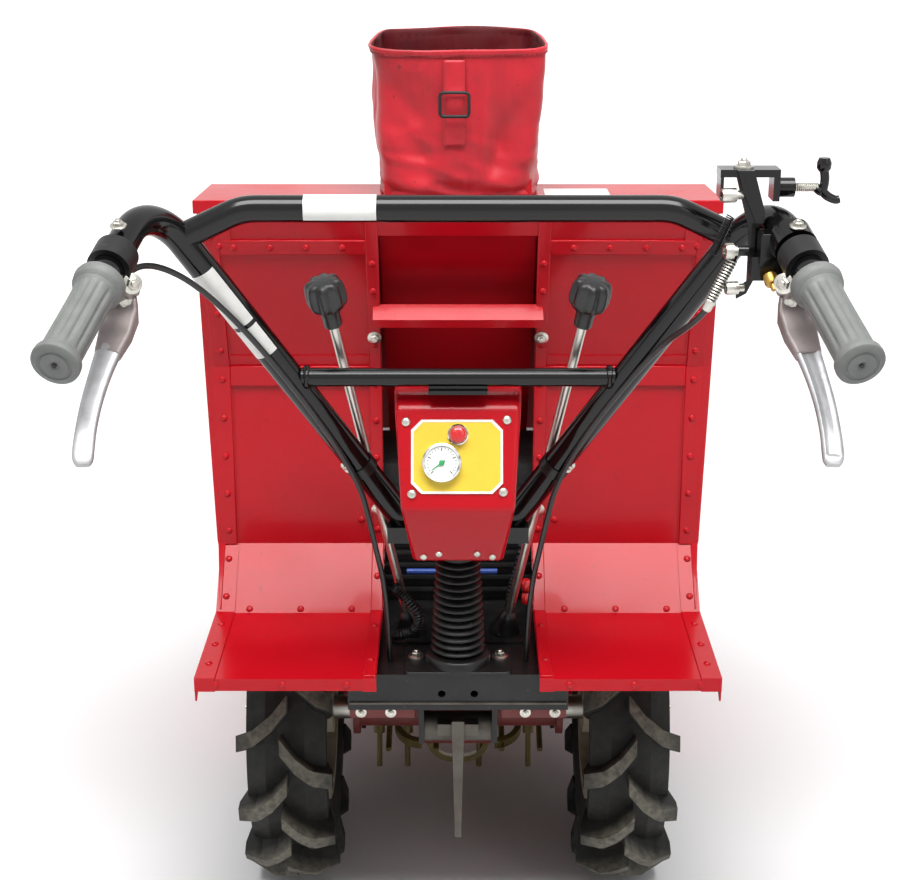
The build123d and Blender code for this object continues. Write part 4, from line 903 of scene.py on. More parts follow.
# Upper bar's height and the height where it meets the tubes; labels on it and, as heights, on the left tube
TOP_BAR_Z = 0.921
TOP_BAR_MEETS_Z = 0.893
BAR_LABEL_X = (-0.146, -0.077)
TUBE_LABELS = ((0.862, 0.806), (0.802, 0.772))
LOW_BAR_Z = 0.738
WELD_X = 0.0165       # weld's middle from the tube's axis, and the offsets of its two beads
WELD_OFFSETS = (-0.011, 0.011)
WELD_LEAN = 0.12
WELD_RING_R = 0.0102
WELD_WOBBLE = 0.0006
WELD_R = 0.0021
WELD_POINTS = 20
CLIP_Z = 0.628
CLAMP_BOLT_ALONG = 0.172


def dress_handlebar():
    """Labels, welds and bolts of the handlebar."""
    labels = bmesh.new()
    bar_y = tube_at(TOP_BAR_MEETS_Z).y
    label_ends = [(x, bar_y, TOP_BAR_Z) for x in BAR_LABEL_X]
    wrap(labels, *label_ends, TOP_BAR_R, (0, -1, 0.5))
    for high, low in TUBE_LABELS:
        wrap(labels, sided(tube_at(high), -1), sided(tube_at(low), -1), TUBE_R, (-0.3, -1, 0.2), spread=0.95)
    piece("handlebar_labels", labels, "plate_yellow", LABEL)
    welds = bmesh.new()
    bolts = bmesh.new()
    for side in (-1, 1):
        centre = sided(tube_at(LOW_BAR_Z), side) + Vector((-side * WELD_X, 0, 0))
        for offset in WELD_OFFSETS:
            ring = []
            for k in range(WELD_POINTS):
                angle = 2 * math.pi * k / WELD_POINTS
                reach = WELD_RING_R + WELD_WOBBLE * math.sin(5 * angle)
                x = side * offset * WELD_LEAN * math.sin(angle)
                ring.append(centre + Vector((x, reach * math.cos(angle), reach * math.sin(angle))))
            tube(welds, ring, WELD_R, 8, closed=True)
        seat = sided(GRIP_END + GRIP_AXIS * CLAMP_BOLT_ALONG, side)
        bolt(bolts, seat + Vector((0, -0.006, 0.0195)), (0, -0.25, 1), 0.0045)
        clip = sided(tube_at(CLIP_Z), side)
        bolt(bolts, clip + Vector((side * 0.0135, -0.0075, 0.004)), (side * 0.8, -0.6, 0.1), 0.005)
    piece("handlebar_welds", welds, "tube_black")
    piece("handlebar_bolts", bolts, "bright_steel")


# Grip's profile from its end along the tube, and its ribs
GRIP_PROFILE = [
    (0.0035, 0.0004), (0.0045, -0.0004), (0.012, -0.0006), (0.013, 0.0004), (0.0145, 0.0004), (0.0155, -0.0005),
    (0.0195, 0.0002), (0.0212, 0.0018), (0.0216, 0.0045), (0.0212, 0.0085), (0.0196, 0.0105), (0.0186, 0.0115),
    (0.0184, 0.013), (0.0182, 0.02), (0.0181, 0.045), (0.0181, 0.075), (0.0184, 0.094), (0.0186, 0.0985),
    (0.0198, 0.1), (0.0204, 0.1015), (0.0198, 0.103), (0.0212, 0.1045), (0.0226, 0.1065), (0.0222, 0.1085),
    (0.0232, 0.1105), (0.0236, 0.1135), (0.0228, 0.1168), (0.0195, 0.118), (0.0152, 0.118),
]
GRIP_STEP = 0.006
RIBS = 11
RIB_DEPTH = 0.085     # share of the radius
RIB_START = 0.014
RIB_END = 0.0985
RIB_FADE = 0.006
GRIP_SIDES = 132
# Black disc at the grip's end: painted shade for the dark inside of its hole
GRIP_HOLE_SHADE = [(0.0022, -0.0009), (0.0022, 0.0008)]


def grip_shape(angle, height):
    """Lengthwise ribs on the grip's barrel."""
    if not RIB_START < height < RIB_END:
        return 1.0
    fade = min(1.0, (height - RIB_START) / RIB_FADE, (RIB_END - height) / RIB_FADE)
    return 1.0 - RIB_DEPTH * fade * (0.5 + 0.5 * math.cos(RIBS * angle)) ** 3


def dress_grips():
    profile = []
    for (r0, h0), (r1, h1) in zip(GRIP_PROFILE, GRIP_PROFILE[1:]):
        steps = max(1, round((h1 - h0) / GRIP_STEP))
        profile += [(r0 + (r1 - r0) * k / steps, h0 + (h1 - h0) * k / steps) for k in range(steps)]
    profile.append(GRIP_PROFILE[-1])
    for name, side in SIDES:
        matrix = basis(sided(GRIP_END, side), sided(GRIP_AXIS, side), (0, 0, 1))
        # black disc as painted shade in the hole at the grip's end
        hole_shade = bmesh.new()
        turned(hole_shade, matrix, GRIP_HOLE_SHADE, 20)
        piece("grip_hole_shade_" + name, hole_shade, "black_rubber")
        bm = bmesh.new()
        turned(bm, matrix, profile, GRIP_SIDES, grip_shape)
        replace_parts(piece("grip_rubber_" + name, bm, "grip_rubber"), "grip_" + name)


# Centre line of the right-hand brake lever, with its half width and half thickness
LEVER = [
    ((0.3046, -0.4632, 0.8590), 0.0105, 0.0062),
    ((0.3040, -0.4780, 0.8450), 0.0135, 0.0062),
    ((0.3055, -0.5000, 0.8310), 0.0135, 0.0056),
    ((0.3090, -0.5230, 0.8180), 0.0112, 0.0050),
    ((0.3128, -0.5430, 0.8040), 0.0098, 0.0046),
    ((0.3165, -0.5630, 0.7870), 0.0092, 0.0044),
    ((0.3188, -0.5810, 0.7690), 0.0090, 0.0044),
    ((0.3190, -0.5960, 0.7545), 0.0092, 0.0046),
    ((0.3185, -0.6030, 0.7475), 0.0086, 0.0046),
    ((0.3183, -0.6062, 0.7440), 0.0060, 0.0036),
]


def smooth_rows(rows, steps=4):
    """Rows of numbers, with curved rows added between them."""
    result = []
    for i in range(len(rows) - 1):
        before = rows[max(i - 1, 0)]
        after = rows[min(i + 2, len(rows) - 1)]
        for k in range(steps):
            t = k / steps
            row = []
            for a, b, c, d in zip(before, rows[i], rows[i + 1], after):
                row.append(0.5 * (2 * b + (c - a) * t + (2 * a - 5 * b + 4 * c - d) * t * t
                                  + (3 * b - a - 3 * c + d) * t * t * t))
            result.append(row)
    return result + [list(rows[-1])]


LEVER_SIDES = 28
LEVER_POWER = 4           # squareness of the section
LEVER_HOLLOW = 0.45       # depth of the hollow side as a share of the thickness
LEVER_HOLLOW_HALF = 0.62
LEVER_HOLLOW_ROWS = (4, 6)    # rows that stay full at the hinge and at the tip
# Bolts through the perch: place, axis and size
PERCH_BOLTS = [
    ((0.2905, -0.487, 0.8745), (-0.55, -1, 0.15), 0.0055),
    ((0.3005, -0.4735, 0.8555), (-0.3, -1, 0.1), 0.006),
]


def dress_levers():
    rows = smooth_rows([[*place, width, thick] for place, width, thick in LEVER])
    last = len(rows) - 1
    for name, side in SIDES:
        rings = []
        for i, (*place, width, thick) in enumerate(rows):
            ahead = sided(rows[min(i + 1, last)], side)
            behind = sided(rows[max(i - 1, 0)], side)
            matrix = basis(sided(place, side), ahead - behind, (side, 0, 0))
            hollow_row = LEVER_HOLLOW_ROWS[0] <= i <= last - LEVER_HOLLOW_ROWS[1]
            ring = []
            for k in range(LEVER_SIDES):
                angle = 2 * math.pi * k / LEVER_SIDES
                c, s = math.cos(angle), math.sin(angle)
                reach = (abs(c) ** LEVER_POWER + abs(s) ** LEVER_POWER) ** (-1 / LEVER_POWER)
                hollow = LEVER_HOLLOW if hollow_row and abs(c) < LEVER_HOLLOW_HALF and s > 0 else 0.0
                ring.append(matrix @ Vector((width * reach * c, thick * (reach * s - hollow), 0)))
            rings.append(ring)
        bm = bmesh.new()
        loft(bm, rings)
        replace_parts(piece("lever_blade_" + name, bm, "lever_cast", crease=50.0), "brake_lever_" + name)
        bolts = bmesh.new()
        for place, axis, size in PERCH_BOLTS:
            bolt(bolts, sided(place, side), sided(axis, side), size)
        piece("perch_bolts_" + name, bolts, "bright_steel")


PERCH_ALONG = 0.150
PERCH_DOWN = Vector((-0.0761, 0.3910, -0.9172))
# Blocks of the perch: width, depth and corner, and heights below the grip's axis
PERCH_BLOCKS = [((0.025, 0.028, 0.004), (0.017, 0.0425)), ((0.036, 0.017, 0.003), (0.024, 0.035))]
PERCH_JAW = (0.0034, 0.0026, 0.0014, 0.0004)    # how far the jaw stands off the lever's first rows
PERCH_JAW_RISE = 0.8


def dress_perches():
    """Cast body round the lower part of each perch."""
    for name, side in SIDES:
        bm = bmesh.new()
        matrix = basis(sided(GRIP_END + GRIP_AXIS * PERCH_ALONG, side), sided(PERCH_DOWN, side), (1, 0, 0))
        for outline, heights in PERCH_BLOCKS:
            plate(bm, matrix, rounded(*outline), *heights)
        rings = []
        for (place, width, thick), grow in zip(LEVER, PERCH_JAW):
            row = basis(sided(place, side), sided(GRIP_AXIS, side), (1, 0, 0))
            outline = rounded(2 * (width + grow), 2 * (thick + grow), 0.003)
            rings.append([row @ Vector((x, y + PERCH_JAW_RISE * grow, 0)) for x, y in outline])
        loft(bm, rings)
        soften(piece("perch_cast_" + name, bm, "lever_cast", PERCH_CAST), 0.0012)


# Clutch bracket

# Round heads: place of the inner end, radius and length
CAP_BOLTS = [
    ((0.2535, -0.4245, 0.943), 0.0068, 0.0135), ((0.2535, -0.4245, 0.891), 0.0076, 0.008),
    ((0.2595, -0.4245, 0.8565), 0.0062, 0.0115),
]
CAP_BOLT_AXIS = (-1, -0.18, 0)
# Head's profile as shares of the radius and the length
CAP_BOLT_PROFILE = [
    (0.62, -0.5), (0.62, 0.0), (1.0, 0.0), (1.0, 0.85), (0.88, 1.0), (0.52, 1.0), (0.48, 0.7),
]
PULL_SPRING = (Vector((0.2545, -0.422, 0.8835)), Vector((0.2355, -0.422, 0.8432)))
PULL_SPRING_R = 0.0047
PULL_WIRE_R = 0.0009
PULL_SPRING_END = [(0.0052, -0.001), (0.0055, 0.002), (0.0047, 0.0035), (0.0047, 0.0085), (0.0036, 0.01)]
BACK_SPRING = ((0.2495, -0.4275, 0.924), (0.2345, -0.4275, 0.889))
BACK_SPRING_R = 0.0036
BACK_WIRE_R = 0.0008
TOP_BOLT_AT = (0.262, -0.411, 0.9661)
# Wing screw: thread, crank with its knob, and wing
THREAD_AT = (0.3095, -0.411, 0.9481)
THREAD_RADII = (0.0037, 0.0043)
THREAD_STEP = 0.0009
THREAD_STEPS = 25
CRANK = [(0.329, -0.411, 0.948), (0.335, -0.411, 0.944), (0.337, -0.411, 0.955), (0.3355, -0.411, 0.9655)]
CRANK_R = 0.0042
CRANK_KNOB_AT = (0.3355, -0.411, 0.9625)
CRANK_KNOB = [(0.0045, 0.0), (0.0066, 0.003), (0.0068, 0.008), (0.005, 0.0125)]
WING = [(0.334, -0.411, 0.946), (0.340, -0.411, 0.940), (0.3475, -0.411, 0.9365), (0.3515, -0.411, 0.937)]
WING_R = 0.0046
WING_TAPER = 0.00006    # for each step along the wing
LATCH_AT = (0.281, -0.441, 0.897)
LATCH = (0.013, 0.03, 0.002)
LATCH_HALF = 0.011
END_PLATE_AT = (0.2395, -0.411, 0.9525)
END_PLATE = (0.026, 0.027, 0.003)
END_PLATE_T = 0.003
THUMB_SCREW_AT = (0.2835, -0.4525, 0.8745)
THUMB_SCREW = [(0.0062, 0.0), (0.0066, 0.002), (0.0066, 0.008), (0.006, 0.01), (0.003, 0.0104), (0.0028, 0.016)]


def dress_clutch():
    """Bolts, springs, wing screw and latch of the clutch bracket."""
    zinc = bmesh.new()
    for place, radius, length in CAP_BOLTS:
        turned(zinc, basis(place, CAP_BOLT_AXIS), [(radius * r, length * h) for r, h in CAP_BOLT_PROFILE], 26)
    bolt(zinc, TOP_BOLT_AT, (0, 0, 1), 0.0056)
    high, low = PULL_SPRING
    tube(zinc, helix(high, low, PULL_SPRING_R, 15), PULL_WIRE_R, 6)
    turned(zinc, basis(low, low - high), PULL_SPRING_END, 20)
    thread = [(THREAD_RADII[k % 2], THREAD_STEP * k) for k in range(THREAD_STEPS)]
    turned(zinc, basis(THREAD_AT, (1, 0, 0)), thread, 16)
    piece("clutch_hardware", zinc, "bright_steel")
    handle = bmesh.new()
    tube(handle, smooth_rows(CRANK, 5), CRANK_R, 14)
    turned(handle, basis(CRANK_KNOB_AT, (0, 0, 1)), CRANK_KNOB, 20)
    wing = smooth_rows(WING, 5)
    tube(handle, wing, [WING_R - WING_TAPER * k for k in range(len(wing))], 14)
    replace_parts(piece("wing_handle", handle, "tube_black"), "wing_screw")
    fittings = bmesh.new()
    tube(fittings, helix(*BACK_SPRING, BACK_SPRING_R, 20), BACK_WIRE_R, 6)
    plate(fittings, basis(LATCH_AT, (0, -1, 0), (1, 0, 0)), rounded(*LATCH), -LATCH_HALF, LATCH_HALF)
    plate(fittings, basis(END_PLATE_AT, (-1, 0, 0), (0, 1, 0)), rounded(*END_PLATE), -END_PLATE_T, 0.0)
    soften(piece("clutch_fittings", fittings, "tube_black"), 0.0006)
    brass = bmesh.new()
    turned(brass, basis(THUMB_SCREW_AT, (0.2, -0.7, -0.7)), THUMB_SCREW, 18)
    piece("thumb_screw", brass, "bright_steel", BRASS)


# Cables: side, length, and the points that guide the line, written for the right-hand side
CABLE_R = 0.003
CABLE_TAIL = [(0.1066, -0.2898, 0.6352), (0.09, -0.264, 0.54), (0.078, -0.245, 0.47), (0.076, -0.236, 0.3863)]
CABLES = {
    "brake_cable": (-1, 0.631, [
        (0.3033, -0.4561, 0.8711), (0.2959, -0.4183, 0.8879), (0.2269, -0.3665, 0.8312)]),
    "clutch_cable": (1, 0.534, [
        (0.2329, -0.422, 0.8376), (0.2278, -0.422, 0.8268), (0.1925, -0.3446, 0.7752)]),
}
CLIP_HALF = 0.006
CLIP_GAP = 0.0005
CLIP_T = 0.0012


def make_cables():
    for node, (side, length, head) in CABLES.items():
        route = [sided(point, side) for point in head + CABLE_TAIL]
        curve = bpy.data.curves.new(node + "_line", "CURVE")
        curve.dimensions = "3D"
        curve.bevel_depth = CABLE_R
        curve.bevel_resolution = 4
        curve.use_fill_caps = True
        spline = curve.splines.new("NURBS")
        spline.points.add(len(route) - 1)
        for point, place in zip(spline.points, route):
            point.co = (*place, 1.0)
        spline.order_u = 3
        spline.use_endpoint_u = True
        spline.resolution_u = 16
        curve.materials.append(MATERIALS["black_plastic"])
        cord = bpy.data.objects.new(node + "_cord", curve)
        link(cord)
        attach(cord, "chassis")
        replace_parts(cord, node)
        clip = bmesh.new()
        place = sided(tube_at(CLIP_Z), side)
        reach = sided(TUBE_AXIS, side) * CLIP_HALF
        wrap(clip, place - reach, place + reach, TUBE_R + CLIP_GAP, (0, -1, 0.3), spread=2.6, lift=CLIP_T)
        clip_piece = piece(node + "_clip", clip, "black_rubber")


# Gear levers

LEVER_FOOT = Vector((0.053, -0.162, 0.386))
LEVER_TOP = Vector((0.126, -0.297, 0.788))
KNOB_PROFILE = [
    (0.0064, 0.0), (0.0092, 0.0012), (0.0096, 0.004), (0.0098, 0.014), (0.0112, 0.0185), (0.0118, 0.0215),
    (0.0122, 0.0228), (0.0168, 0.0238), (0.0186, 0.0262), (0.0192, 0.031), (0.0194, 0.037), (0.0190, 0.043),
    (0.0184, 0.0478), (0.0172, 0.0510), (0.015, 0.0532), (0.0095, 0.0544), (0.003, 0.0548),
]
KNOB_LOBES = 8
LOBE_DEPTH = 0.085    # share of the radius
LOBE_START = 0.024
LOBE_FADE = 0.004
KNOB_SIDES = 90
GATE = (0.046, 0.06, 0.006)
GATE_T = 0.003
GEAR_BOOT = [
    (0.017, 0.003), (0.0175, 0.008), (0.014, 0.014), (0.0135, 0.018), (0.0105, 0.024), (0.0102, 0.028),
    (0.0075, 0.033), (0.0052, 0.036),
]


def knob_shape(angle, height):
    """Lobes round the knob, over its smooth collar."""
    if height < LOBE_START:
        return 1.0
    return 1.0 + LOBE_DEPTH * math.cos(KNOB_LOBES * angle) * min(1.0, (height - LOBE_START) / LOBE_FADE)


def dress_gear_levers():
    """Knob, and the boot and gate at the foot, of each lever."""
    for name, side in SIDES:
        axis = sided(LEVER_TOP - LEVER_FOOT, side)
        foot = sided(LEVER_FOOT, side)
        knob = bmesh.new()
        turned(knob, basis(sided(LEVER_TOP, side), axis, (1, 0, 0)), KNOB_PROFILE, KNOB_SIDES, knob_shape)
        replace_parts(piece("knob_" + name, knob, "black_plastic", crease=50.0), "gear_knob_" + name)
        gate = bmesh.new()
        plate(gate, upright(foot), rounded(*GATE), 0.0, GATE_T)
        turned(gate, basis(foot, axis, (1, 0, 0)), GEAR_BOOT, 30)
        piece("gear_boot_" + name, gate, "black_rubber")


# Control box

# Side view, with the half width at each point
BOX_OUTLINE = [
    (-0.2763, 0.722, 0.066), (-0.2930, 0.722, 0.066), (-0.3127, 0.7045, 0.0645), (-0.3483, 0.608, 0.0590),
    (-0.3128, 0.537, 0.0475), (-0.2883, 0.537, 0.0475),
]
BOX_ROUND = 0.0055
# Screws on the sloping face as (x, y), and under it as x and share of the way down
FACE_SCREWS = [(-0.053, 0.0310), (0.050, 0.0330), (-0.047, -0.0425), (0.046, -0.0405)]
FACE_SCREW_R = 0.0048
FACE_SCREW_LIFT = 0.0004
UNDER_SCREWS = [(-0.02, 0.84), (0.02, 0.84), (-0.036, 0.9), (0.036, 0.9)]
UNDER_SCREW_R = 0.0038


def dress_control_box():
    bm = bmesh.new()
    loft(bm, [[Vector((side * x, y, z)) for y, z, x in BOX_OUTLINE] for side in (-1, 1)])
    bmesh.ops.recalc_face_normals(bm, faces=bm.faces)
    bmesh.ops.bevel(bm, geom=list(bm.edges), offset=BOX_ROUND, segments=4, profile=0.5, affect="EDGES")
    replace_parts(piece("control_shell", bm, "body_red", crease=30.0), "control_box")
    face = face_matrix()
    screws = bmesh.new()
    for x, y in FACE_SCREWS:
        screw(screws, face @ Vector((x, y, FACE_SCREW_LIFT)), face.col[2].xyz, FACE_SCREW_R)
    high, low = (Vector((0, y, z)) for y, z, _ in BOX_OUTLINE[3:5])
    under = Vector((1, 0, 0)).cross(high - low).normalized()
    for x, share in UNDER_SCREWS:
        screw(screws, high.lerp(low, share) + Vector((x, 0, 0)), under, UNDER_SCREW_R)
    piece("panel_screws", screws, "bright_steel")
    dress_panel(face)


# Yellow plate: width, height and cut corner, outside and inside its white border
PLATE_OUTER = (0.0935, 0.0755, 0.0105)
PLATE_INNER = (0.0885, 0.0705, 0.0098)
PLATE_SHIFT = (-0.001, -0.0045, 0.0)
BORDER_T = 0.0003
GAUGE_AT = (-0.0155, -0.0065, PLATE_T)
BEZEL = [(0.0202, 0.0), (0.0204, 0.006), (0.0198, 0.0085), (0.0184, 0.0092), (0.0172, 0.0086), (0.0166, 0.0066)]
DIAL_DISC = [(0.0166, 0.0064), (0.0166, 0.007)]
TICKS = 20
TICK_START = 225.0
TICK_SWEEP = 270.0
TICK_OUTER = 0.0154
LONG_TICK = (0.0118, 0.0005)     # inner radius and half width
SHORT_TICK = (0.0134, 0.0003)
TICK_HEIGHTS = (0.007, 0.0072)
NEEDLE_ANGLE = 216.0
NEEDLE_VIEW = [(-0.004, -0.0009), (0.0125, -0.0003), (0.0125, 0.0003), (-0.004, 0.0009)]
NEEDLE_HEIGHTS = (0.0074, 0.0079)
NEEDLE_HUB = [(0.0028, 0.0072), (0.0028, 0.0086), (0.002, 0.009)]
BUTTON_AT = (0.001, 0.0225, PLATE_T)
BUTTON_RING = [(0.0108, 0.0), (0.0108, 0.0016), (0.0096, 0.0028), (0.0088, 0.0026)]
BUTTON_CAP = [(0.0084, 0.002), (0.0086, 0.006), (0.008, 0.0084), (0.006, 0.0098), (0.003, 0.0104)]


def octagon(width, height, cut):
    w, h = width / 2, height / 2
    return [(w, h - cut), (w - cut, h), (cut - w, h), (-w, h - cut),
            (-w, cut - h), (cut - w, -h), (w - cut, -h), (w, cut - h)]


def dress_panel(face):
    """White border, gauge and push button on the yellow plate."""
    face = face @ Matrix.Translation(PLATE_SHIFT)
    outer, inner = octagon(*PLATE_OUTER), octagon(*PLATE_INNER)
    yellow = bmesh.new()
    plate(yellow, face, outer, 0.0, PLATE_T)
    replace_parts(piece("panel_print", yellow, "plate_yellow"), "panel_plate")
    border = bmesh.new()
    low, high = PLATE_T, PLATE_T + BORDER_T
    rings = [[face @ Vector((x, y, z)) for x, y in outline]
             for outline, z in ((outer, low), (outer, high), (inner, high), (inner, low))]
    loft(border, rings, closed=True)
    piece("panel_border", border, "plate_yellow", LABEL)
    gauge = face @ Matrix.Translation(GAUGE_AT)
    bezel = bmesh.new()
    turned(bezel, gauge, BEZEL, 64)
    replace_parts(piece("gauge_bezel", bezel, "gauge_chrome"), "gauge")
    dial = bmesh.new()
    turned(dial, gauge, DIAL_DISC, 48)
    piece("gauge_dial", dial, "gauge_chrome", DIAL)
    ink = bmesh.new()
    for k in range(TICKS + 1):
        turn = gauge @ Matrix.Rotation(math.radians(TICK_START - TICK_SWEEP * k / TICKS), 4, "Z")
        reach, half = SHORT_TICK if k % 5 else LONG_TICK
        tick = [(reach, -half), (TICK_OUTER, -half), (TICK_OUTER, half), (reach, half)]
        plate(ink, turn, tick, *TICK_HEIGHTS)
    piece("gauge_ticks", ink, "black_plastic", INK)
    needle = bmesh.new()
    plate(needle, gauge @ Matrix.Rotation(math.radians(NEEDLE_ANGLE), 4, "Z"), NEEDLE_VIEW, *NEEDLE_HEIGHTS)
    turned(needle, gauge, NEEDLE_HUB, 20)
    piece("gauge_needle", needle, "button_red", NEEDLE)
    button = face @ Matrix.Translation(BUTTON_AT)
    ring = bmesh.new()
    turned(ring, button, BUTTON_RING, 36)
    piece("button_ring", ring, "gauge_chrome")
    cap = bmesh.new()
    turned(cap, button, BUTTON_CAP, 36)
    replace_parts(piece("button_cap", cap, "button_red"), "push_button")


# Bellows and the space behind it

BELLOWS_FOOT = [(0.0362, 0.0), (0.0362, 0.0125), (0.0335, 0.0145)]
BELLOWS_START = 0.016
BELLOWS_RIBS = 13
BELLOWS_LOW_R = 0.0305
BELLOWS_TAPER = 0.0055
# One rib, as shares of the radius and the pitch
BELLOWS_RIB = [(0.78, 0.0), (0.86, 0.18), (0.98, 0.36), (1.0, 0.5), (0.98, 0.64), (0.86, 0.82)]
BELLOWS_TOP_R = (0.0195, 0.0187)
BELLOWS_TOP_H = 0.0005
BASE_PLATE = (0.118, 0.07, 0.008)
BASE_PLATE_HEIGHTS = (0.0003, 0.004)
BASE_BOLT_X = 0.0465
BASE_BOLT_Y = 0.006


def dress_bellows():
    low, high = (Vector(corner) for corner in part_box("bellows"))
    foot = Vector(((low.x + high.x) / 2, (low.y + high.y) / 2, low.z))
    height = high.z - low.z
    pitch = (height - BELLOWS_START) / BELLOWS_RIBS
    profile = list(BELLOWS_FOOT)
    for k in range(BELLOWS_RIBS):
        outer = BELLOWS_LOW_R - BELLOWS_TAPER * k / (BELLOWS_RIBS - 1)
        z = BELLOWS_START + k * pitch
        profile += [(outer * reach, z + up * pitch) for reach, up in BELLOWS_RIB]
    profile += zip(BELLOWS_TOP_R, (height - BELLOWS_TOP_H, height))
    bm = bmesh.new()
    turned(bm, upright(foot), profile, 56)
    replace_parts(piece("bellows_boot", bm, "black_rubber", crease=60.0), "bellows")
    base = bmesh.new()
    plate(base, upright(foot), rounded(*BASE_PLATE), *BASE_PLATE_HEIGHTS)
    soften(piece("bellows_plate", base, "frame_black"), 0.0008)
    bolts = bmesh.new()
    for x in (-BASE_BOLT_X, BASE_BOLT_X):
        bolt(bolts, foot + Vector((x, BASE_BOLT_Y, BASE_PLATE_HEIGHTS[1])), (0, 0, 1), 0.0055)
    piece("bellows_bolts", bolts, "bright_steel")


# Corrugated hoses: radius and points
HOSES = [
    (0.0056, [(-0.074, -0.195, 0.458), (-0.060, -0.203, 0.450), (-0.044, -0.208, 0.430),
              (-0.050, -0.206, 0.410), (-0.074, -0.200, 0.401)]),
    (0.005, [(0.060, -0.110, 0.392), (0.064, -0.125, 0.430), (0.072, -0.135, 0.470), (0.078, -0.120, 0.520)]),
]
HOSE_RIDGE = 0.16
HOSE_WAVE = 1.5
BLUE_ROD = [(-0.060, -0.118, 0.446), (0.046, -0.118, 0.446)]
BLUE_ROD_R = 0.0036
FINS = 9
FIN_LOW_Z = 0.402
FIN_PITCH = 0.016
FIN_Y = -0.0605
FIN = (0.19, 0.018, 0.003)
FIN_HALF = 0.0018
RED_CAPS_AT = [(0.079, -0.150, 0.420), (0.079, -0.150, 0.436)]
RED_CAP = [(0.005, 0.0), (0.0058, 0.002), (0.0058, 0.010), (0.004, 0.013)]


def dress_interior():
    """What shows in the channel beside the bellows."""
    rubber = bmesh.new()
    for radius, points in HOSES:
        line = smooth_rows(points, 30)
        radii = [radius * (1.0 + HOSE_RIDGE * math.sin(HOSE_WAVE * i)) for i in range(len(line))]
        tube(rubber, line, radii, 12)
    piece("inner_hoses", rubber, "black_rubber")
    blue = bmesh.new()
    tube(blue, BLUE_ROD, BLUE_ROD_R, 16)
    piece("blue_rod", blue, "tube_black", BLUE)
    fins = bmesh.new()
    for k in range(FINS):
        plate(fins, upright((0, FIN_Y, FIN_LOW_Z + FIN_PITCH * k)), rounded(*FIN), -FIN_HALF, FIN_HALF)
    piece("engine_fins", fins, "engine_cast")
    red = bmesh.new()
    for place in RED_CAPS_AT:
        turned(red, basis(place, (0, 0, 1)), RED_CAP, 20)
    piece("red_caps", red, "button_red")


# Bar under the rear cross-member, its bolts, and the cross-member's ledge
BAR_AT = (0.0845, -0.2505, 0.3357)
BAR = (0.073, 0.022, 0.002)
BAR_HALF = 0.007
BAR_BOLTS_X = (0.075, 0.108)
BAR_REAR_Y = -0.2615
LEDGE_AT = (0, -0.2708, 0.3515)
LEDGE = (0.24, 0.0025, 0.001)
LEDGE_HALF = 0.0012
# Wheel bolts: outer ends of the axle and the rim's disc, bolt circle and count
AXLE_END_X = 0.2668
RIM_DISC_X = 0.2102
HUB_CIRCLE_R = 0.058
HUB_BOLTS = 5


def dress_underside():
    """Bar, bolts and ledge of the rear cross-member, and the wheels' bolts."""
    bar = bmesh.new()
    bolts = bmesh.new()
    for side in (-1, 1):
        plate(bar, upright(sided(BAR_AT, side)), rounded(*BAR), -BAR_HALF, BAR_HALF)
        for x in BAR_BOLTS_X:
            bolt(bolts, (side * x, BAR_REAR_Y, BAR_AT[2]), (0, -1, 0), 0.0036)
    soften(piece("axle_bar", bar, "axle_red"), 0.001)
    piece("axle_bar_bolts", bolts, "bright_steel")
    ledge = bmesh.new()
    plate(ledge, upright(LEDGE_AT), rounded(*LEDGE), -LEDGE_HALF, LEDGE_HALF)
    piece("beam_ledge", ledge, "stake_steel")
    for name, side in SIDES:
        hub = bmesh.new()
        bolt(hub, (side * AXLE_END_X, 0.0, AXLE_Z), (side, 0, 0), 0.0042)
        for k in range(HUB_BOLTS):
            angle = 2 * math.pi * k / HUB_BOLTS
            y, z = HUB_CIRCLE_R * math.cos(angle), AXLE_Z + HUB_CIRCLE_R * math.sin(angle)
            bolt(hub, (side * RIM_DISC_X, y, z), (side, 0, 0), 0.006)
        piece("hub_bolts_" + name, hub, "bright_steel", body="wheel_" + name)


# Stage

WHITE = (1.0, 1.0, 1.0, 1.0)
FLOOR_REACH = 60.0
FLOOR_COLOUR = (0.86, 0.86, 0.865, 1.0)
FLOOR_ROUGHNESS = 0.9
FLOOR_SPECULAR = 0.1
GLOW_DISTANCES = (0.25, 4.0)    # the floor's glow grows between these distances from the middle
GLOW = 0.97
SKY_LOW = (0.42, 0.43, 0.45, 1.0)
SKY_HEIGHTS = (-0.05, 0.75)
SKY_STRENGTH = 0.36


def seen_rays(tree):
    """1 for rays from the camera, a reflection or glass."""
    rays = tree.nodes.new("ShaderNodeLightPath")
    result = rays.outputs["Is Camera Ray"]
    for name in ("Is Glossy Ray", "Is Transmission Ray"):
        result = math_node(tree, "MAXIMUM", result, rays.outputs[name])
    return result


def make_stage():
    """Pale floor that fades to white away from the machine."""
    reach = FLOOR_REACH
    mesh = bpy.data.meshes.new("floor")
    mesh.from_pydata([(-reach, -reach, 0), (reach, -reach, 0), (reach, reach, 0), (-reach, reach, 0)], [],
                     [(0, 1, 2, 3)])
    floor = bpy.data.objects.new("floor", mesh)
    link(floor)
    mat = bpy.data.materials.new("floor_pale")
    mat.use_nodes = True
    tree = mat.node_tree
    shader = tree.nodes["Principled BSDF"]
    shader.inputs["Base Color"].default_value = FLOOR_COLOUR
    shader.inputs["Roughness"].default_value = FLOOR_ROUGHNESS
    shader.inputs["Specular IOR Level"].default_value = FLOOR_SPECULAR
    shader.inputs["Emission Color"].default_value = WHITE
    place = tree.nodes.new("ShaderNodeTexCoord")
    distance = length_node(tree, place.outputs["Object"])
    glow = math_node(tree, "MULTIPLY", seen_rays(tree), ranged(tree, distance, *GLOW_DISTANCES, 0.0, GLOW))
    tree.links.new(glow, shader.inputs["Emission Strength"])
    mesh.materials.append(mat)


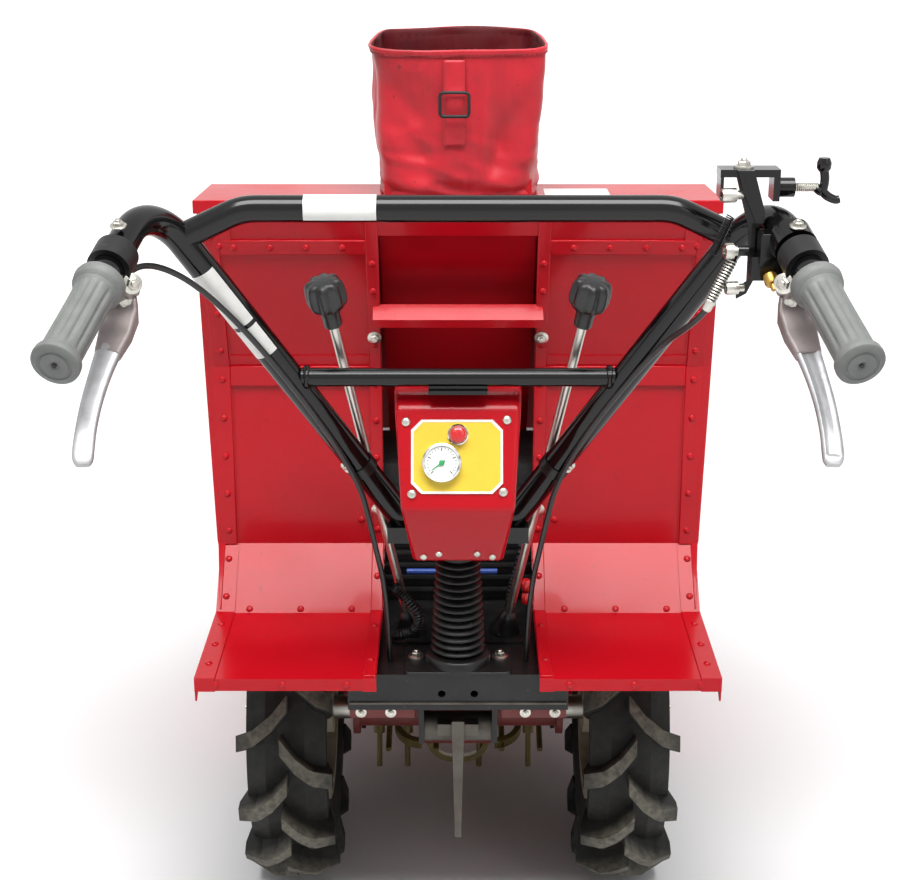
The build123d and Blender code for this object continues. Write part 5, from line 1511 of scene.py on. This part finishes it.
def make_world():
    """White for what is seen, and a dim sky for what lights the machine."""
    world = bpy.data.worlds.new("studio")
    bpy.context.scene.world = world
    world.use_nodes = True
    tree = world.node_tree
    sky = tree.nodes["Background"]
    place = tree.nodes.new("ShaderNodeTexCoord")
    parts = tree.nodes.new("ShaderNodeSeparateXYZ")
    tree.links.new(place.outputs["Generated"], parts.inputs["Vector"])
    height = ranged(tree, parts.outputs["Z"], *SKY_HEIGHTS, 0.0, 1.0)
    seen = seen_rays(tree)
    gradient = mixed(tree, height, SKY_LOW, WHITE)
    tree.links.new(mixed(tree, seen, gradient, WHITE), sky.inputs["Color"])
    tree.links.new(ranged(tree, seen, 0.0, 1.0, SKY_STRENGTH, 1.0), sky.inputs["Strength"])


# Lamps: name, place, target, size and power
LAMPS = [
    ("overhead", (0.0, -1.25, 3.2), (0.0, -0.2, 0.4), (2.6, 1.5), 148.0),
    ("key", (1.8, -2.2, 2.0), (0.0, -0.1, 0.6), (1.4, 1.4), 8.0),
    ("fill", (-2.2, -1.6, 1.8), (0.0, -0.1, 0.6), (1.6, 1.6), 2.5),
]


def make_lamp(name, place, target, size, power):
    data = bpy.data.lights.new(name, "AREA")
    data.shape = "RECTANGLE"
    data.size, data.size_y = size
    data.energy = power
    lamp = bpy.data.objects.new(name, data)
    lamp.location = place
    lamp.rotation_euler = (Vector(target) - Vector(place)).to_track_quat("-Z", "Y").to_euler()
    link(lamp)


CAMERA_AT = (0.0, -1.97, 1.21)
CAMERA_TILT = 72.0
LENS = 66.81
SENSOR = 36.0


def make_camera():
    data = bpy.data.cameras.new("photo_camera")
    data.sensor_width = SENSOR
    data.lens = LENS
    camera = bpy.data.objects.new("photo_camera", data)
    camera.location = CAMERA_AT
    camera.rotation_euler = (math.radians(CAMERA_TILT), 0.0, 0.0)
    link(camera)
    bpy.context.scene.camera = camera


finish_cad_nodes()
dress_spout()
dress_body()
dress_frames()
dress_shoulders()
dress_handlebar()
dress_grips()
dress_levers()
dress_perches()
dress_clutch()
make_cables()
dress_gear_levers()
dress_control_box()
dress_bellows()
dress_interior()
dress_underside()
make_stage()
make_world()
for lamp in LAMPS:
    make_lamp(*lamp)
make_camera()
bpy.context.scene.view_settings.view_transform = "Standard"
